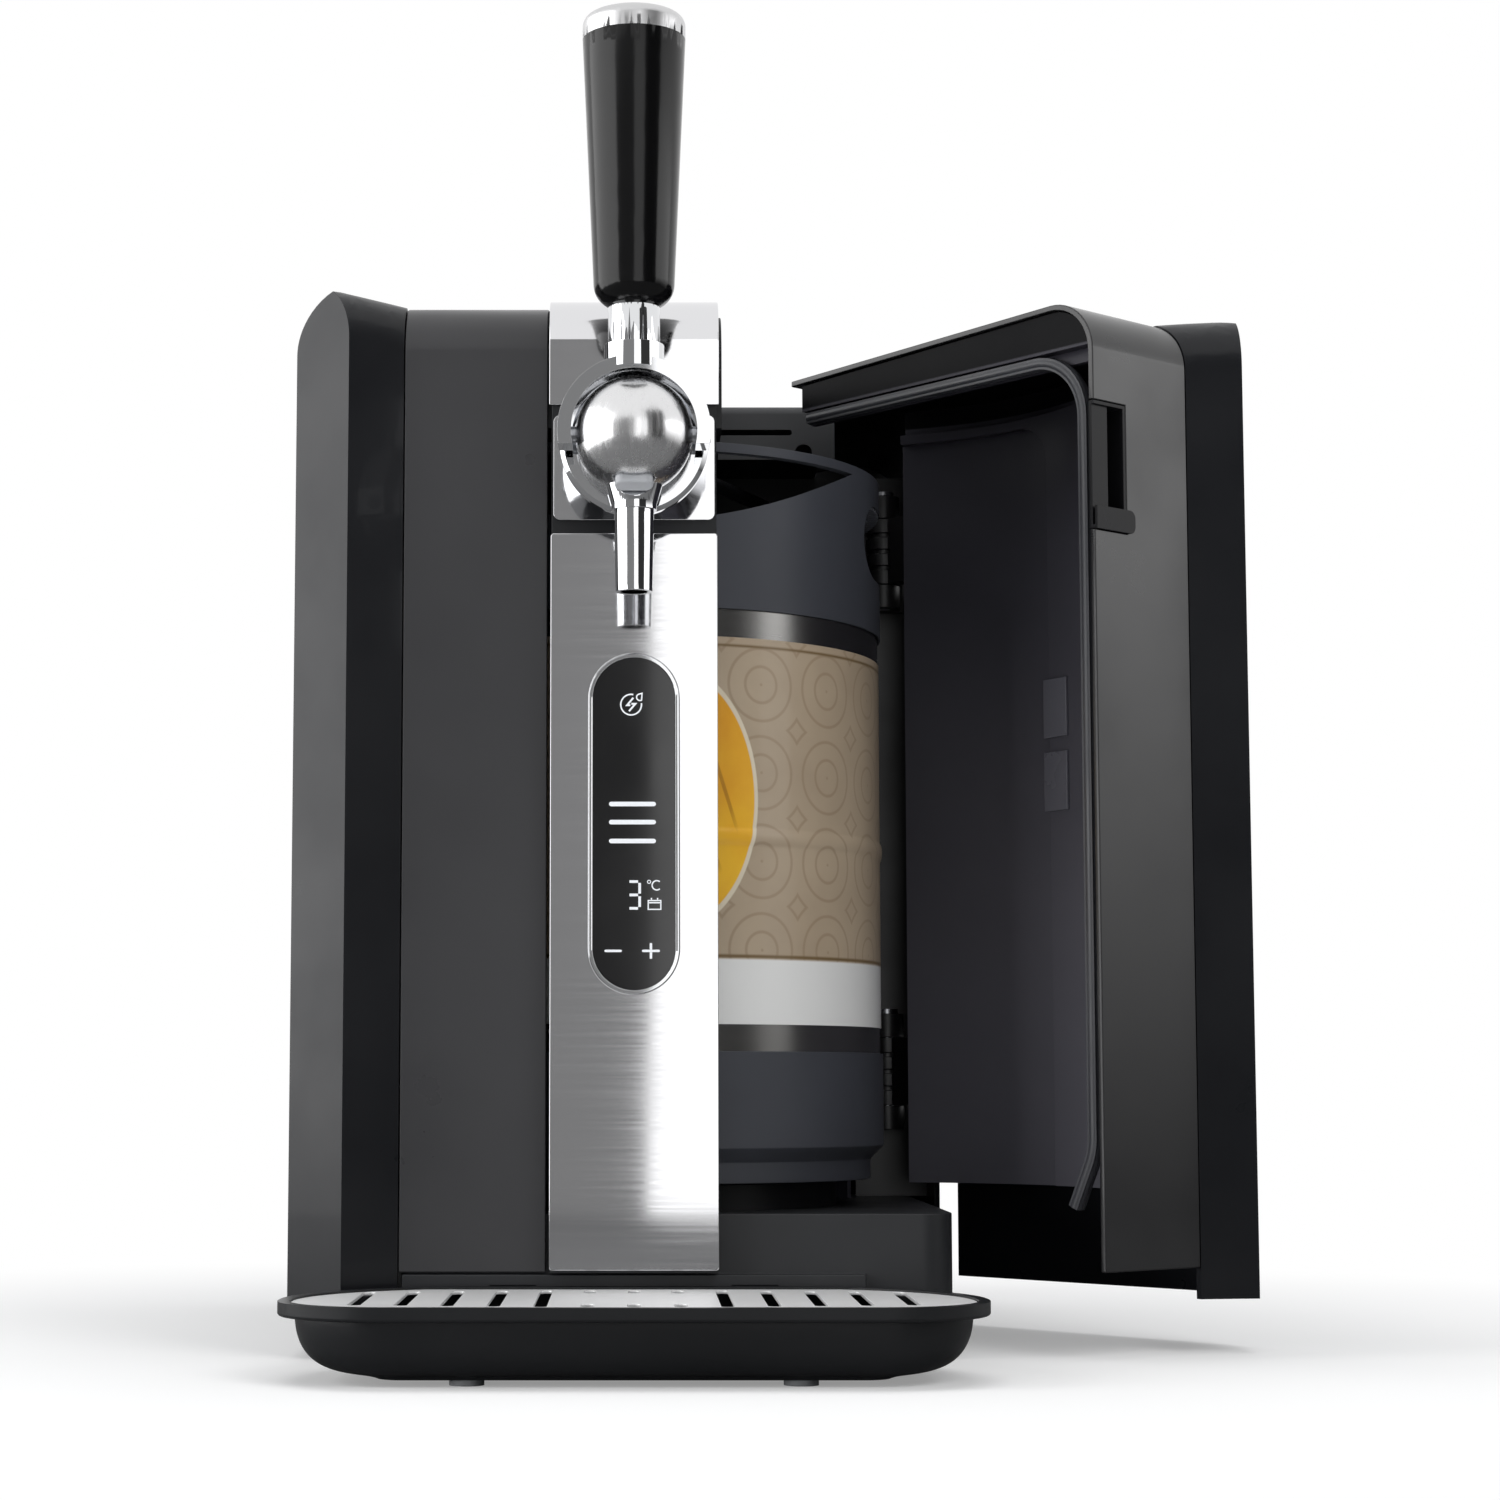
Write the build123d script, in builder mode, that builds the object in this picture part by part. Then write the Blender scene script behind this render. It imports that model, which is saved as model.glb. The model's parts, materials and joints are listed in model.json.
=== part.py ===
from build123d import *
import os
from math import acos, asin, atan2, cos, degrees, radians, sin, sqrt

# A home draught-beer machine for a 6 litre keg, with its keg door standing open.
# Millimetres. +X is to the right seen from the front, +Y to the back, +Z up.
# The origin is on the table, under the keg's axis.

# ---------------------------------------------------------------- driving sizes
# Keg
keg_radius = 101.4            # the plastic collars, the widest part of the keg
keg_height = 283.4
collar_step = 1.2             # the drum's wall stands in from the collars
drum_sheet = 1.2
drum_corner = 9.0
drum_top_drop = 48.4          # from the keg's top down to the drum's
bead_height = 131.5           # above the keg's bottom, like the label's
bead_bulge = 0.9
bead_half = 4.0
label_thickness = 0.4
label_bottom = 60.2
label_top_drop = 26.9         # from the drum's top down to the label's
lower_collar_height = 50.0
keg_foot_step = 5.4           # the foot stands in from the collars
keg_foot_height = 8.0
keg_foot_width = 26.0
upper_collar_height = 64.4
collar_wall = 4.0
collar_ring = 3.7             # bar left over the front window
window_half_width = 87.0
window_depth = 28.0
hand_hole_width = 84.0
hand_hole_height = 30.0
hand_hole_drop = 27.4         # from the keg's top down to the hole's middle
coupler_radius = 26.0
coupler_wing = 3.0
coupler_height = 36.0
valve_radius = 12.0
valve_height = 10.0
valve_flange = 6.0

# Casing
skin = 2.5
keg_front_gap = 1.1
bay_gap = 10.6                # between the keg and the bay's round inner wall
bay_wall = 2.0
side_depth = 18.5             # from that wall to the outside of a side shell
rear_depth = 109.0            # from that wall to the back of the machine
insulation_thickness = 8.5
insulation_start = 60.0       # angle round the keg's axis where it begins
panel_step = 42.5             # from a shell's outside in to the front panels
prow_step = 22.5              # from a shell's outside in to its sharp front edge
prow_height = 12.0            # how far those edges stand in front of the panels
prow_length = 26.0
shell_bottom = 20.5
panel_bottom = 32.5
headroom = 55.0               # from the keg's top to the top over the panels
rear_slope = 5.0              # how far that top falls to the rear housing
shell_rise = 2.0              # how far the side shells stand higher
shell_round = 22.0
rear_round = 18.0
panel_round = 21.0
ceiling_drop = 31.0           # the bay's ceiling is this far below the top
ceiling_thickness = 20.0
door_split = 62.0             # the door's top ends here, and the rear housing begins
seam = 0.8                    # visible gap between neighbouring covers
rail_height = 24.0
rail_slot = 36.0

# Base
foot_height = 8.0
foot_radius = 11.0
foot_side_inset = 35.5
foot_front_inset = 27.0
foot_rear_inset = 29.0
plinth_inset = 10.5           # from a shell's outside in to the plinth
plinth_top = 54.0
plinth_corner = 13.0
plinth_wall = 6.0
pan_floor = 12.0
cell_margin = 10.5            # from the plinth's edge in to the cells underneath
cell_columns = 5
cell_rows = 4
seat_height = 10.6
seat_inset = 19.4

# Column and display
column_half_width = 31.5
column_depth = 8.4            # how far the bright plate stands in front of the panels
plate_thickness = 1.6
plate_bottom = 33.5
tap_plate_half_width = 30.5
tap_plate_below = 23.5        # from the tap's axis down to the tap plate's edge
tap_plate_above = 16.8        # and up to the other
cap_half_width = 32.2
plate_gap = 5.1               # dark gap under the tap plate
cap_gap = 4.0                 # and over it
cap_round = 20.0
cap_depth = 28.0
head_half_width = 33.6
head_drop = 6.8               # from the cap's lower edge down to the head's
head_ledge = 24.1             # from the panels back to the bay's ceiling
head_depth = 60.0
display_width = 33.7
display_bottom = 135.6
display_height = 127.7
display_ring = 1.3
ring_proud = 0.5
board_thickness = 1.6
pocket_step = 4.0             # the pocket behind the window is smaller by this
lamp_depth = 1.5
lamp_width = 10.0
lamp_pitch = 30.0

# Tap
tap_reach = 43.0              # from the bright plate to the tap's vertical axis
tap_drop = 65.0               # from the top over the panels down to the tap's axis
ball_radius = 21.5
housing_radius = 27.5
housing_setback = 10.4        # the housing's front rim, behind the ball's centre
housing_length = 18.0
rim_chamfer = 1.5
rim_length = 5.0
shank_radius = 10.0
shank_tail_radius = 5.5
shank_bore = 3.0
shank_inside = 9.0            # how far the shank reaches in over the keg's edge
spout_root_radius = 10.5
spout_radius = 7.3
spout_tip_radius = 6.8
spout_bore = 5.0
spout_overlap = 3.0           # how far the spout's root rises past the ball's lowest point
spout_web = 4.0               # thickness of the web from its root back to the housing
chamber_depth = 2.0           # under the ball, where the bore is wider
chamber_step = 1.2
spout_drop = 58.0             # from the tap's axis down to the spout's end
shoulder_drop = 27.0
stem_radius = 9.5
stem_rise = 33.0              # from the tap's axis up to the stem
stem_length = 14.0
stem_stud = 6.0
grip_length = 101.0
grip_bottom_radius = 14.5
grip_top_radius = 19.0
grip_round = 9.0
cap_height = 9.0
cap_crown = 4.0
visor_gap = 1.4
visor_wall = 5.0
visor_front = 9.0
visor_back = 4.0
axle_radius = 3.0
ear_end = 2.0                 # the visor's ears end this far below the axle's bore
socket_wall = 1.5
tab_width = 14.0
tab_height = 6.0
tab_slope = 62.0              # angle below level at which the tab looks out of the ball
tab_travel = 2.0
tab_proud = 2.6
tab_seat = 3.0                # how deep it still sits in the ball when pressed
tab_round = 0.8

# Drip tray
tray_inset = 7.0              # from a shell's outside in to the tray's side
tray_depth = 117.0
tray_top = 27.5
tray_rim_height = 5.0
tray_front_corner = 40.0
tray_rear_corner = 72.0
tray_least_corner = 9.0
tray_wall = 2.2
tray_lip = 4.0
rim_round = 1.2
# the bowl's outlines: how far below the rim, and how far drawn in across and along
bowl_outlines = ((0.0, 6.0, 6.0), (9.0, 8.0, 7.0), (14.4, 12.4, 9.0), (17.9, 21.0, 12.0), (20.3, 36.0, 16.0))
tray_foot_radius = 6.0
tray_foot_x = 57.0
tray_foot_spread = 70.0       # between the front and the rear pair
grille_thickness = 1.2
grille_sink = 0.7
slot_pitch = 16.0
slot_width = 4.6
slot_length = 86.0
short_slot = 15.0
slot_shortening = 4.0
slots_each_side = 5
lug_width = 15.0
lug_depth = 6.0
lug_x = 45.0

# Door
door_edge = 33.0              # its free edge, beside the column
hinge_inset = 20.5            # from the door's outside in to the hinge line
hinge_y = 85.0
door_rest_angle = 40.5        # how far the door stands open
liner_bottom = 61.0
gasket_radius = 2.6
gasket_inset = 3.5            # from the door's free edge in to the gasket
gasket_behind = 4.5           # from the panels' back to the gasket's middle
gasket_rise = 9.0             # over the bay's ceiling
gasket_bend = 24.0
gasket_kick = 10.0            # how far its lower end slants back
gasket_slant = 21.0
gasket_low = 5.0              # below the door liner's lower edge
pull_drop = 60.0              # from the ceiling down to the pull's lower edge
pull_height = 50.0
pull_width = 18.5
pull_wall = 1.4
pull_lip = 9.0                # height of the hooked lip at its lower end
pull_lip_reach = 4.0          # how far that lip stands out sideways
pull_lip_proud = 1.2          # and to the front
pull_well_depth = 8.0
catch_height = 24.5
catch_levels = (214.5, 245.0)
catch_width = 15.2
catch_angle = -10.6
catch_depth = 1.4
frame_thickness = 4.0         # raised band beside the liner's recess
frame_edge_angle = -7.0       # where it ends, seen from the keg's axis
frame_height = 4.0
frame_round = 16.0
rim_width = 3.0               # of the rim that carries the gasket
strip_width = 12.0            # flat strip beside the gasket
leaf_height = 50.0
leaf_low = 29.0               # over the plinth
leaf_high = 61.0              # below the ceiling
leaf_knuckle = 29.0
arm_width = 7.0
arm_reach = 44.0
arm_pad = 16.0
pin_radius = 3.0
pin_head = 2.0
knuckle_radius = 7.5
groove_width = 2.0
groove_depth = 1.2
bracket_plate = 2.4             # thickness of a bracket's back plate
pillar_gap = 11.0

# Cooling and services
jacket_thickness = 2.5
jacket_start = 40.0           # the jacket wraps from here to as far on the other side
jacket_bottom = 90.0
jacket_height = 200.0
block_width = 50.0
block_height = 60.0
block_depth = 17.0
element_size = 40.0
element_thickness = 4.0
cooler_level = 210.0
sink_width = 110.0
sink_height = 120.0
sink_base = 6.0
fin_depth = 28.0
fin_thickness = 1.6
fin_count = 14
fan_size = 92.0
fan_depth = 25.0
fan_gap = 3.0
fan_bore = 44.0
fan_hub = 17.0
fan_shaft = 2.0
fan_spoke = 4.0               # width and depth of the frame's rear spokes
fan_hole = 2.2
blade_count = 7
blade_length = 28.0
blade_thickness = 1.8
blade_pitch = 50.0
vent_rows = 14
vent_pitch = 8.0
vent_width = 60.0
vent_slot = 3.2
screw_radius = 3.5
inlet_x = -62.0
inlet_level = 44.0
inlet_width = 27.0
inlet_height = 20.0
inlet_depth = 18.0
inlet_border = 3.5
inlet_wall = 2.0
inlet_corner = 3.0
blade_spacing = 7.0           # between the inlet's contact blades
base_screw_spread = (60.0, 35.0)
base_screw_inset = 8.0
supply_x = -60.0
supply_inset = 55.0           # from the back in to its middle, like the next two
supply_width = 90.0
supply_depth = 60.0
supply_height = 34.0
board_inset = 49.0
board_level = 140.0
board_depth = 70.0
board_height = 110.0
relay_size = 13.0
pump_left = 20.0
pump_length = 50.0
pump_inset = 56.0
pump_radius = 15.0
pump_head = 26.0
hose_x = 86.0
hose_bottom = 47.0
hose_end = (12.0, 4.0)        # where the air hose enters the coupler
hose_radius = 3.0
hose_bend = 8.0
beer_line_radius = 4.0

# Clearances
fit_gap = 0.3                 # between pieces that stand next to each other
running_gap = 0.05            # radial, between a pin and its bore

# ---------------------------------------------------------------- what follows from them
drum_radius = keg_radius - collar_step
keg_foot_radius = keg_radius - keg_foot_step
bay_radius = keg_radius + bay_gap
front_y = -(keg_radius + keg_front_gap + skin)
panel_back = front_y + skin
half_width = bay_radius + side_depth
panel_half_width = half_width - panel_step
prow_edge = half_width - prow_step
core_half_width = half_width - skin
rear_y = bay_radius + rear_depth
plate_y = front_y - column_depth
tap_y = plate_y - tap_reach
keg_bottom = plinth_top + seat_height
keg_top = keg_bottom + keg_height
drum_bottom = keg_bottom + keg_foot_height + 2
drum_top = keg_top - drum_top_drop
label_low = keg_bottom + label_bottom
label_height = drum_top - label_top_drop - label_low
panel_top = keg_top + headroom
rear_top = panel_top - rear_slope
shell_top = panel_top + shell_rise
ceiling_level = panel_top - ceiling_drop
tap_height = panel_top - tap_drop
tap_plate_bottom = tap_height - tap_plate_below
tap_plate_top = tap_height + tap_plate_above
plate_top = tap_plate_bottom - plate_gap
cap_bottom = tap_plate_top + cap_gap
head_bottom = cap_bottom - head_drop
spout_bottom = tap_height - spout_drop
spout_shoulder = tap_height - shoulder_drop
stem_bottom = tap_height + stem_rise
grip_bottom = stem_bottom + stem_length
grip_top = grip_bottom + grip_length
plinth_half_width = half_width - plinth_inset
tray_half_width = half_width - tray_inset
hinge_x = half_width - hinge_inset
gasket_x = door_edge + gasket_inset
gasket_y = panel_back + gasket_behind
gasket_top = ceiling_level + gasket_rise
gasket_end = liner_bottom - gasket_low
gasket_slant_top = gasket_end + gasket_slant
pull_bottom = ceiling_level - pull_drop
supply_y = rear_y - supply_inset
board_y = rear_y - board_inset
pump_y = rear_y - pump_inset
tray_back = front_y - 0.5
tray_front = tray_back - tray_depth
tray_middle = (tray_back + tray_front) / 2
housing_front = door_split + 2 * seam
leaf_middles = (plinth_top + leaf_low + leaf_height / 2, ceiling_level - leaf_high + leaf_height / 2)
hinge_axis = Axis((hinge_x, hinge_y, 0), (0, 0, 1))
# Round seam about the hinge line: the fixed nose stays inside it, the door outside it
nose_radius = sqrt((half_width - hinge_x) ** 2 + (hinge_y - housing_front) ** 2)
door_sweep = nose_radius + seam

os.makedirs("parts", exist_ok=True)


def save(piece, label):
    """Labels a finished piece and writes its STEP file."""
    piece.label = label
    export_step(piece, "parts/" + label + ".step")


def save_on_door(piece, label):
    """Turns a piece of the closed door to the open rest pose and writes it."""
    save(piece.rotate(hinge_axis, door_rest_angle), label)


def polar(radius, angle):
    """A point at this distance and angle from the keg's axis."""
    return (radius * cos(radians(angle)), radius * sin(radians(angle)))


# ---------------------------------------------------------------- casing
def side_solid(side, inset):
    """A side shell's full outline as a solid, drawn in by inset. side is -1 for left, 1 for right."""
    outer = -1 if side > 0 else 0
    inner_x = panel_half_width - 4 * skin
    with BuildPart() as body:
        with BuildSketch(Plane.XY.offset(shell_bottom - inset)) as plan:
            with BuildLine():
                Polyline(
                    (side * panel_half_width, front_y),
                    (side * prow_edge, front_y - prow_height),
                    (side * half_width, front_y - prow_height + prow_length),
                    (side * half_width, rear_y),
                    (side * panel_half_width, rear_y),
                    close=True,
                )
            make_face()
            fillet(plan.vertices().group_by(Axis.Y)[-1].sort_by(Axis.X)[outer], rear_round)
            if inset:
                offset(amount=-inset, kind=Kind.INTERSECTION, mode=Mode.REPLACE)
                with Locations((side * panel_half_width, (front_y + rear_y) / 2)):
                    Rectangle(4 * inset, rear_y - front_y - 2 * inset)
        extrude(amount=shell_top - shell_bottom)
        with BuildSketch(Plane.XZ.offset(-rear_y - 1)) as elevation:
            with BuildLine():
                Polyline(
                    (side * inner_x, 0),
                    (side * (half_width - inset), 0),
                    (side * (half_width - inset), shell_top - inset),
                    (side * prow_edge, shell_top - inset),
                    (side * inner_x, panel_top - skin - inset),
                    close=True,
                )
            make_face()
            fillet(elevation.vertices().group_by(Axis.Y)[-1].sort_by(Axis.X)[outer], shell_round - inset)
        extrude(amount=3 * rear_y, mode=Mode.INTERSECT)
        # the front rolls over into the top as the panels do, slanting out to the prow
        with BuildSketch(Plane.YZ.offset(side * panel_half_width)) as roll:
            with Locations(((front_y + inset + 2 * rear_y) / 2, panel_top / 2 - inset)):
                Rectangle(2 * rear_y - front_y - inset, panel_top)
            fillet(roll.vertices().group_by(Axis.Y)[-1].sort_by(Axis.X)[0], panel_round - inset)
        slant = ((prow_edge - panel_half_width) * side, -prow_height, shell_rise)
        extrude(amount=2 * panel_step, dir=slant, mode=Mode.INTERSECT)
    return body.part


def bent_panel(x_left, x_right, outer, inner, rounded, thickness=skin):
    """A sheet cover bent about X: its outer and inner outlines in Y and Z, with the bends rounded."""
    with BuildPart() as panel:
        with BuildSketch(Plane.YZ.offset(x_left)):
            with BuildLine():
                FilletPolyline(*outer, radius=rounded)
                FilletPolyline(*inner, radius=rounded - thickness)
                Line(outer[0], inner[0])
                Line(outer[-1], inner[-1])
            make_face()
        extrude(amount=x_right - x_left)
    return panel.part


def front_panel(x_left, x_right, bottom):
    """A front panel that bends over into the machine's top."""
    outer = [(front_y, bottom), (front_y, panel_top), (door_split, rear_top)]
    inner = [(panel_back, bottom), (panel_back, panel_top - skin), (door_split, rear_top - skin)]
    return bent_panel(x_left, x_right, outer, inner, panel_round)


with BuildPart() as left_side_shell:
    add(side_solid(-1, 0))
    add(side_solid(-1, skin), mode=Mode.SUBTRACT)
save(left_side_shell.part, "left_side_shell")

with BuildPart() as front_top_cover:
    add(front_panel(-panel_half_width + seam / 2, door_edge - seam, panel_bottom))
    # slot for the column, from the bottom up over the bend
    with BuildSketch(Plane.XY.offset(panel_bottom - 1)):
        with Locations((0, front_y - 1)):
            Rectangle(2 * cap_half_width + 2 * fit_gap + seam, 2 * (cap_depth - column_depth + 1 + fit_gap))
    extrude(amount=panel_top, mode=Mode.SUBTRACT)
save(front_top_cover.part, "front_top_cover")

screw_span = 2 * (panel_half_width - 4 * screw_radius)
screw_pitch = (rear_top - plinth_top) / 2 - 6 * screw_radius
screw_middle = (rear_top + plinth_top) / 2

with BuildPart() as rear_cover:
    rail_bottom = rear_top - rail_height
    outline = [
        (housing_front, rail_bottom),
        (housing_front, rear_top),
        (rear_y, rear_top),
        (rear_y, plinth_top),
    ]
    inside = [
        (housing_front + skin, rail_bottom),
        (housing_front + skin, rear_top - skin),
        (rear_y - skin, rear_top - skin),
        (rear_y - skin, plinth_top),
    ]
    add(bent_panel(-panel_half_width + seam / 2, panel_half_width - seam / 2, outline, inside, 4.0))
    with BuildSketch(Plane.XZ.offset(-rear_y - 1)):
        with Locations((0, cooler_level)):
            with GridLocations(vent_width + 12, vent_pitch, 2, vent_rows):
                SlotOverall(vent_width, vent_slot)
        with Locations((0, rear_top - 2 * vent_pitch)):
            with GridLocations(vent_width + 12, vent_pitch, 2, 2):
                SlotOverall(vent_width, vent_slot)
    extrude(amount=skin + 2, mode=Mode.SUBTRACT)
    with BuildSketch(Plane.XZ.offset(-housing_front - skin - 1)):
        with Locations((door_edge + rail_slot / 2, rear_top - rail_height / 2)):
            SlotOverall(rail_slot, skin)
    extrude(amount=skin + 2, mode=Mode.SUBTRACT)
    with Locations(Plane.XZ.offset(-rear_y)):
        with Locations((0, screw_middle)):
            with GridLocations(screw_span, screw_pitch, 2, 3):
                CounterBoreHole(screw_radius / 2, screw_radius + fit_gap, skin / 2)
save(rear_cover.part, "rear_cover")

with BuildPart() as rear_cover_screws:
    with BuildSketch(Plane.XZ.offset(-rear_y)):
        with Locations((0, screw_middle)):
            with GridLocations(screw_span, screw_pitch, 2, 3):
                Circle(screw_radius)
    extrude(amount=skin / 2)
    with BuildSketch(Plane.XZ.offset(-rear_y)):
        with Locations((0, screw_middle)):
            with GridLocations(screw_span, screw_pitch, 2, 3):
                Circle(screw_radius / 2 - running_gap)
    extrude(amount=4 * skin)
    # cross recess
    with BuildSketch(Plane.XZ.offset(-rear_y)):
        with Locations((0, screw_middle)):
            with GridLocations(screw_span, screw_pitch, 2, 3):
                Rectangle(screw_radius * 1.2, screw_radius / 4)
                Rectangle(screw_radius / 4, screw_radius * 1.2)
    extrude(amount=skin / 4, mode=Mode.SUBTRACT)
save(rear_cover_screws.part, "rear_cover_screws")

with BuildPart() as right_rear_shell:
    add(side_solid(1, 0))
    add(side_solid(1, skin), mode=Mode.SUBTRACT)
    # all behind the split, and the round nose about the hinge line
    with BuildSketch():
        with Locations((half_width / 2, housing_front + rear_depth)):
            Rectangle(2 * half_width, 2 * rear_depth)
        with Locations((hinge_x, hinge_y)):
            Circle(nose_radius)
    extrude(amount=shell_top, mode=Mode.INTERSECT)
    # openings for the hinge arms
    for middle in leaf_middles:
        with Locations((half_width, (housing_front + hinge_y + arm_width + 2) / 2, middle)):
            Box(4 * skin, hinge_y + arm_width + 2 - housing_front, leaf_knuckle + 3, mode=Mode.SUBTRACT)
        with Locations((half_width, housing_front, middle)):
            Box(4 * skin, 2 * skin, leaf_knuckle + 3, mode=Mode.SUBTRACT)
save(right_rear_shell.part, "right_rear_shell")

# ---------------------------------------------------------------- base
foot_x = half_width - foot_side_inset
foot_front = front_y + foot_front_inset
foot_rear = rear_y - foot_rear_inset
foot_places = [(x, y) for x in (-foot_x, foot_x) for y in (foot_front, foot_rear)] + [(0, 0)]
foot_boss = foot_radius + 3
upper_front = panel_back + 1.2
plinth_back = rear_y - skin - fit_gap
cell_span = 2 * (plinth_half_width - cell_margin) + plinth_wall
cell_width = cell_span / cell_columns - plinth_wall
cell_run = 2 * (cell_margin + upper_front) - plinth_wall
cell_depth = -cell_run / cell_rows - plinth_wall

with BuildPart() as chassis_base:
    with BuildSketch(Plane.XY.offset(foot_height)) as outline:
        with Locations((0, (upper_front + plinth_back) / 2)):
            Rectangle(2 * plinth_half_width, plinth_back - upper_front)
        fillet(outline.vertices(), plinth_corner)
    extrude(amount=plinth_top - foot_height)
    # the lower band stands forward, level with the front panels
    with BuildSketch(Plane.XY.offset(foot_height)):
        with Locations((0, (front_y + upper_front) / 2 + plinth_corner / 2)):
            Rectangle(2 * (panel_half_width - 2 * seam), upper_front - front_y + plinth_corner)
    extrude(amount=panel_bottom - seam - foot_height)
    # cells underneath, with ribs left between them
    with BuildSketch(Plane.XY.offset(foot_height)):
        with GridLocations(cell_width + plinth_wall, cell_depth + plinth_wall, cell_columns, cell_rows):
            Rectangle(cell_width, cell_depth)
    extrude(amount=plinth_top - plinth_wall - foot_height, mode=Mode.SUBTRACT)
    with BuildSketch(Plane.XY.offset(foot_height)):
        with Locations(*foot_places):
            Circle(foot_boss)
    extrude(amount=plinth_top - foot_height)
    # pan for the power supply and the pump
    with BuildSketch(Plane.XY.offset(pan_floor)):
        with Locations((0, (bay_radius + plinth_wall + plinth_back - plinth_wall) / 2)):
            RectangleRounded(
                2 * (plinth_half_width - plinth_wall), plinth_back - bay_radius - 2 * plinth_wall, plinth_wall
            )
    extrude(amount=plinth_top, mode=Mode.SUBTRACT)
    # pockets for the drip tray's lugs
    for side in (-1, 1):
        with Locations((side * lug_x, front_y + lug_depth / 2, tray_top - tray_rim_height / 2)):
            Box(lug_width + 2, lug_depth + 2, tray_rim_height, mode=Mode.SUBTRACT)
    # seat for the power inlet's body in the rear wall
    with Locations((inlet_x, plinth_back, inlet_level)):
        Box(
            inlet_width + 2 * (inlet_border + fit_gap),
            4 * plinth_wall,
            inlet_height + 2 * (inlet_border + fit_gap),
            mode=Mode.SUBTRACT,
        )
save(chassis_base.part, "chassis_base")

with BuildPart() as rubber_feet:
    with BuildSketch():
        with Locations(*foot_places):
            Circle(foot_radius)
    extrude(amount=foot_height)
    chamfer(rubber_feet.edges().group_by(Axis.Z)[0], 1.0)
save(rubber_feet.part, "rubber_feet")

with BuildPart() as keg_seat:
    with BuildSketch(Plane.XY.offset(plinth_top)):
        Circle(keg_radius - seat_inset)
    extrude(amount=seat_height)
    chamfer(keg_seat.edges().group_by(Axis.Z)[-1], 1.0)
save(keg_seat.part, "keg_seat")

# ---------------------------------------------------------------- keg bay
def bay_ring(inner_radius, outer_radius, start, end, bottom, top):
    """Part of a round wall about the keg's axis, from angle start to angle end."""
    with BuildPart() as ring:
        with BuildSketch(Plane.XY.offset(bottom)):
            with BuildLine():
                inner = CenterArc((0, 0), inner_radius, start, end - start)
                outer = CenterArc((0, 0), outer_radius, start, end - start)
                Line(inner @ 0, outer @ 0)
                Line(inner @ 1, outer @ 1)
            make_face()
        extrude(amount=top - bottom)
    return ring.part


def pass_through(width, height, level):
    """Opens the round walls behind the keg for the cooling block."""
    with Locations((0, bay_radius, level)):
        Box(width, bay_radius / 2, height, mode=Mode.SUBTRACT)


liner_start = degrees(atan2(housing_front + 2, sqrt(bay_radius**2 - housing_front**2)))
liner_end = 360 - degrees(acos(-panel_half_width * 0.8 / bay_radius))
keg_walls_top = keg_top + 2
jacket_radius = keg_radius + 1.0
ring_outer = bay_radius + bay_wall + fit_gap + insulation_thickness

with BuildPart() as bay_liner:
    add(bay_ring(bay_radius, bay_radius + bay_wall, liner_start, liner_end, plinth_top, keg_walls_top))
    pass_through(block_width + 4, block_height + 4, cooler_level)
save(bay_liner.part, "bay_liner")

with BuildPart() as bay_insulation:
    ring_inner = bay_radius + bay_wall + fit_gap
    add(bay_ring(ring_inner, ring_outer, insulation_start, liner_end - 4, plinth_top, keg_walls_top))
    pass_through(block_width + 8, block_height + 8, cooler_level)
save(bay_insulation.part, "bay_insulation")

ceiling_front = panel_back + head_ledge
ceiling_back = housing_front - fit_gap
ceiling_start = 180 - degrees(asin(ceiling_back / bay_radius))
ceiling_end = 235

with BuildPart() as bay_ceiling:
    with BuildSketch(Plane.XY.offset(ceiling_level)):
        with BuildLine():
            CenterArc((0, 0), bay_radius, ceiling_start, ceiling_end - ceiling_start)
            Polyline(
                polar(bay_radius, ceiling_end),
                (-bay_radius / 2, ceiling_front),
                (head_half_width, ceiling_front),
                (head_half_width, ceiling_back),
                polar(bay_radius, ceiling_start),
            )
        make_face()
    extrude(amount=ceiling_thickness)
save(bay_ceiling.part, "bay_ceiling")

with BuildPart() as cooling_jacket:
    jacket_outer = jacket_radius + jacket_thickness
    jacket_top = jacket_bottom + jacket_height
    add(bay_ring(jacket_radius, jacket_outer, jacket_start, 180 - jacket_start, jacket_bottom, jacket_top))
    block_back = jacket_radius + block_depth
    with Locations((0, (jacket_radius + jacket_thickness / 2 + block_back) / 2, cooler_level)):
        Box(block_width, block_back - jacket_radius - jacket_thickness / 2, block_height)
    with BuildSketch(Plane.XY.offset(jacket_bottom)):
        Circle(jacket_radius)
    extrude(amount=jacket_height, mode=Mode.SUBTRACT)
save(cooling_jacket.part, "cooling_jacket")

with BuildPart() as thermoelectric_element:
    with Locations((0, block_back + element_thickness / 2, cooler_level)):
        Box(element_size, element_thickness, element_size)
save(thermoelectric_element.part, "thermoelectric_element")

sink_front = block_back + element_thickness
fan_front = sink_front + sink_base + fin_depth + fan_gap

with BuildPart() as heat_sink:
    with Locations((0, sink_front + sink_base / 2, cooler_level)):
        Box(sink_width, sink_base, sink_height)
    with Locations((0, sink_front + sink_base + fin_depth / 2, cooler_level)):
        with GridLocations((sink_width - fin_thickness) / (fin_count - 1), 1, fin_count, 1):
            Box(fin_thickness, fin_depth, sink_height)
save(heat_sink.part, "heat_sink")

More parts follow.
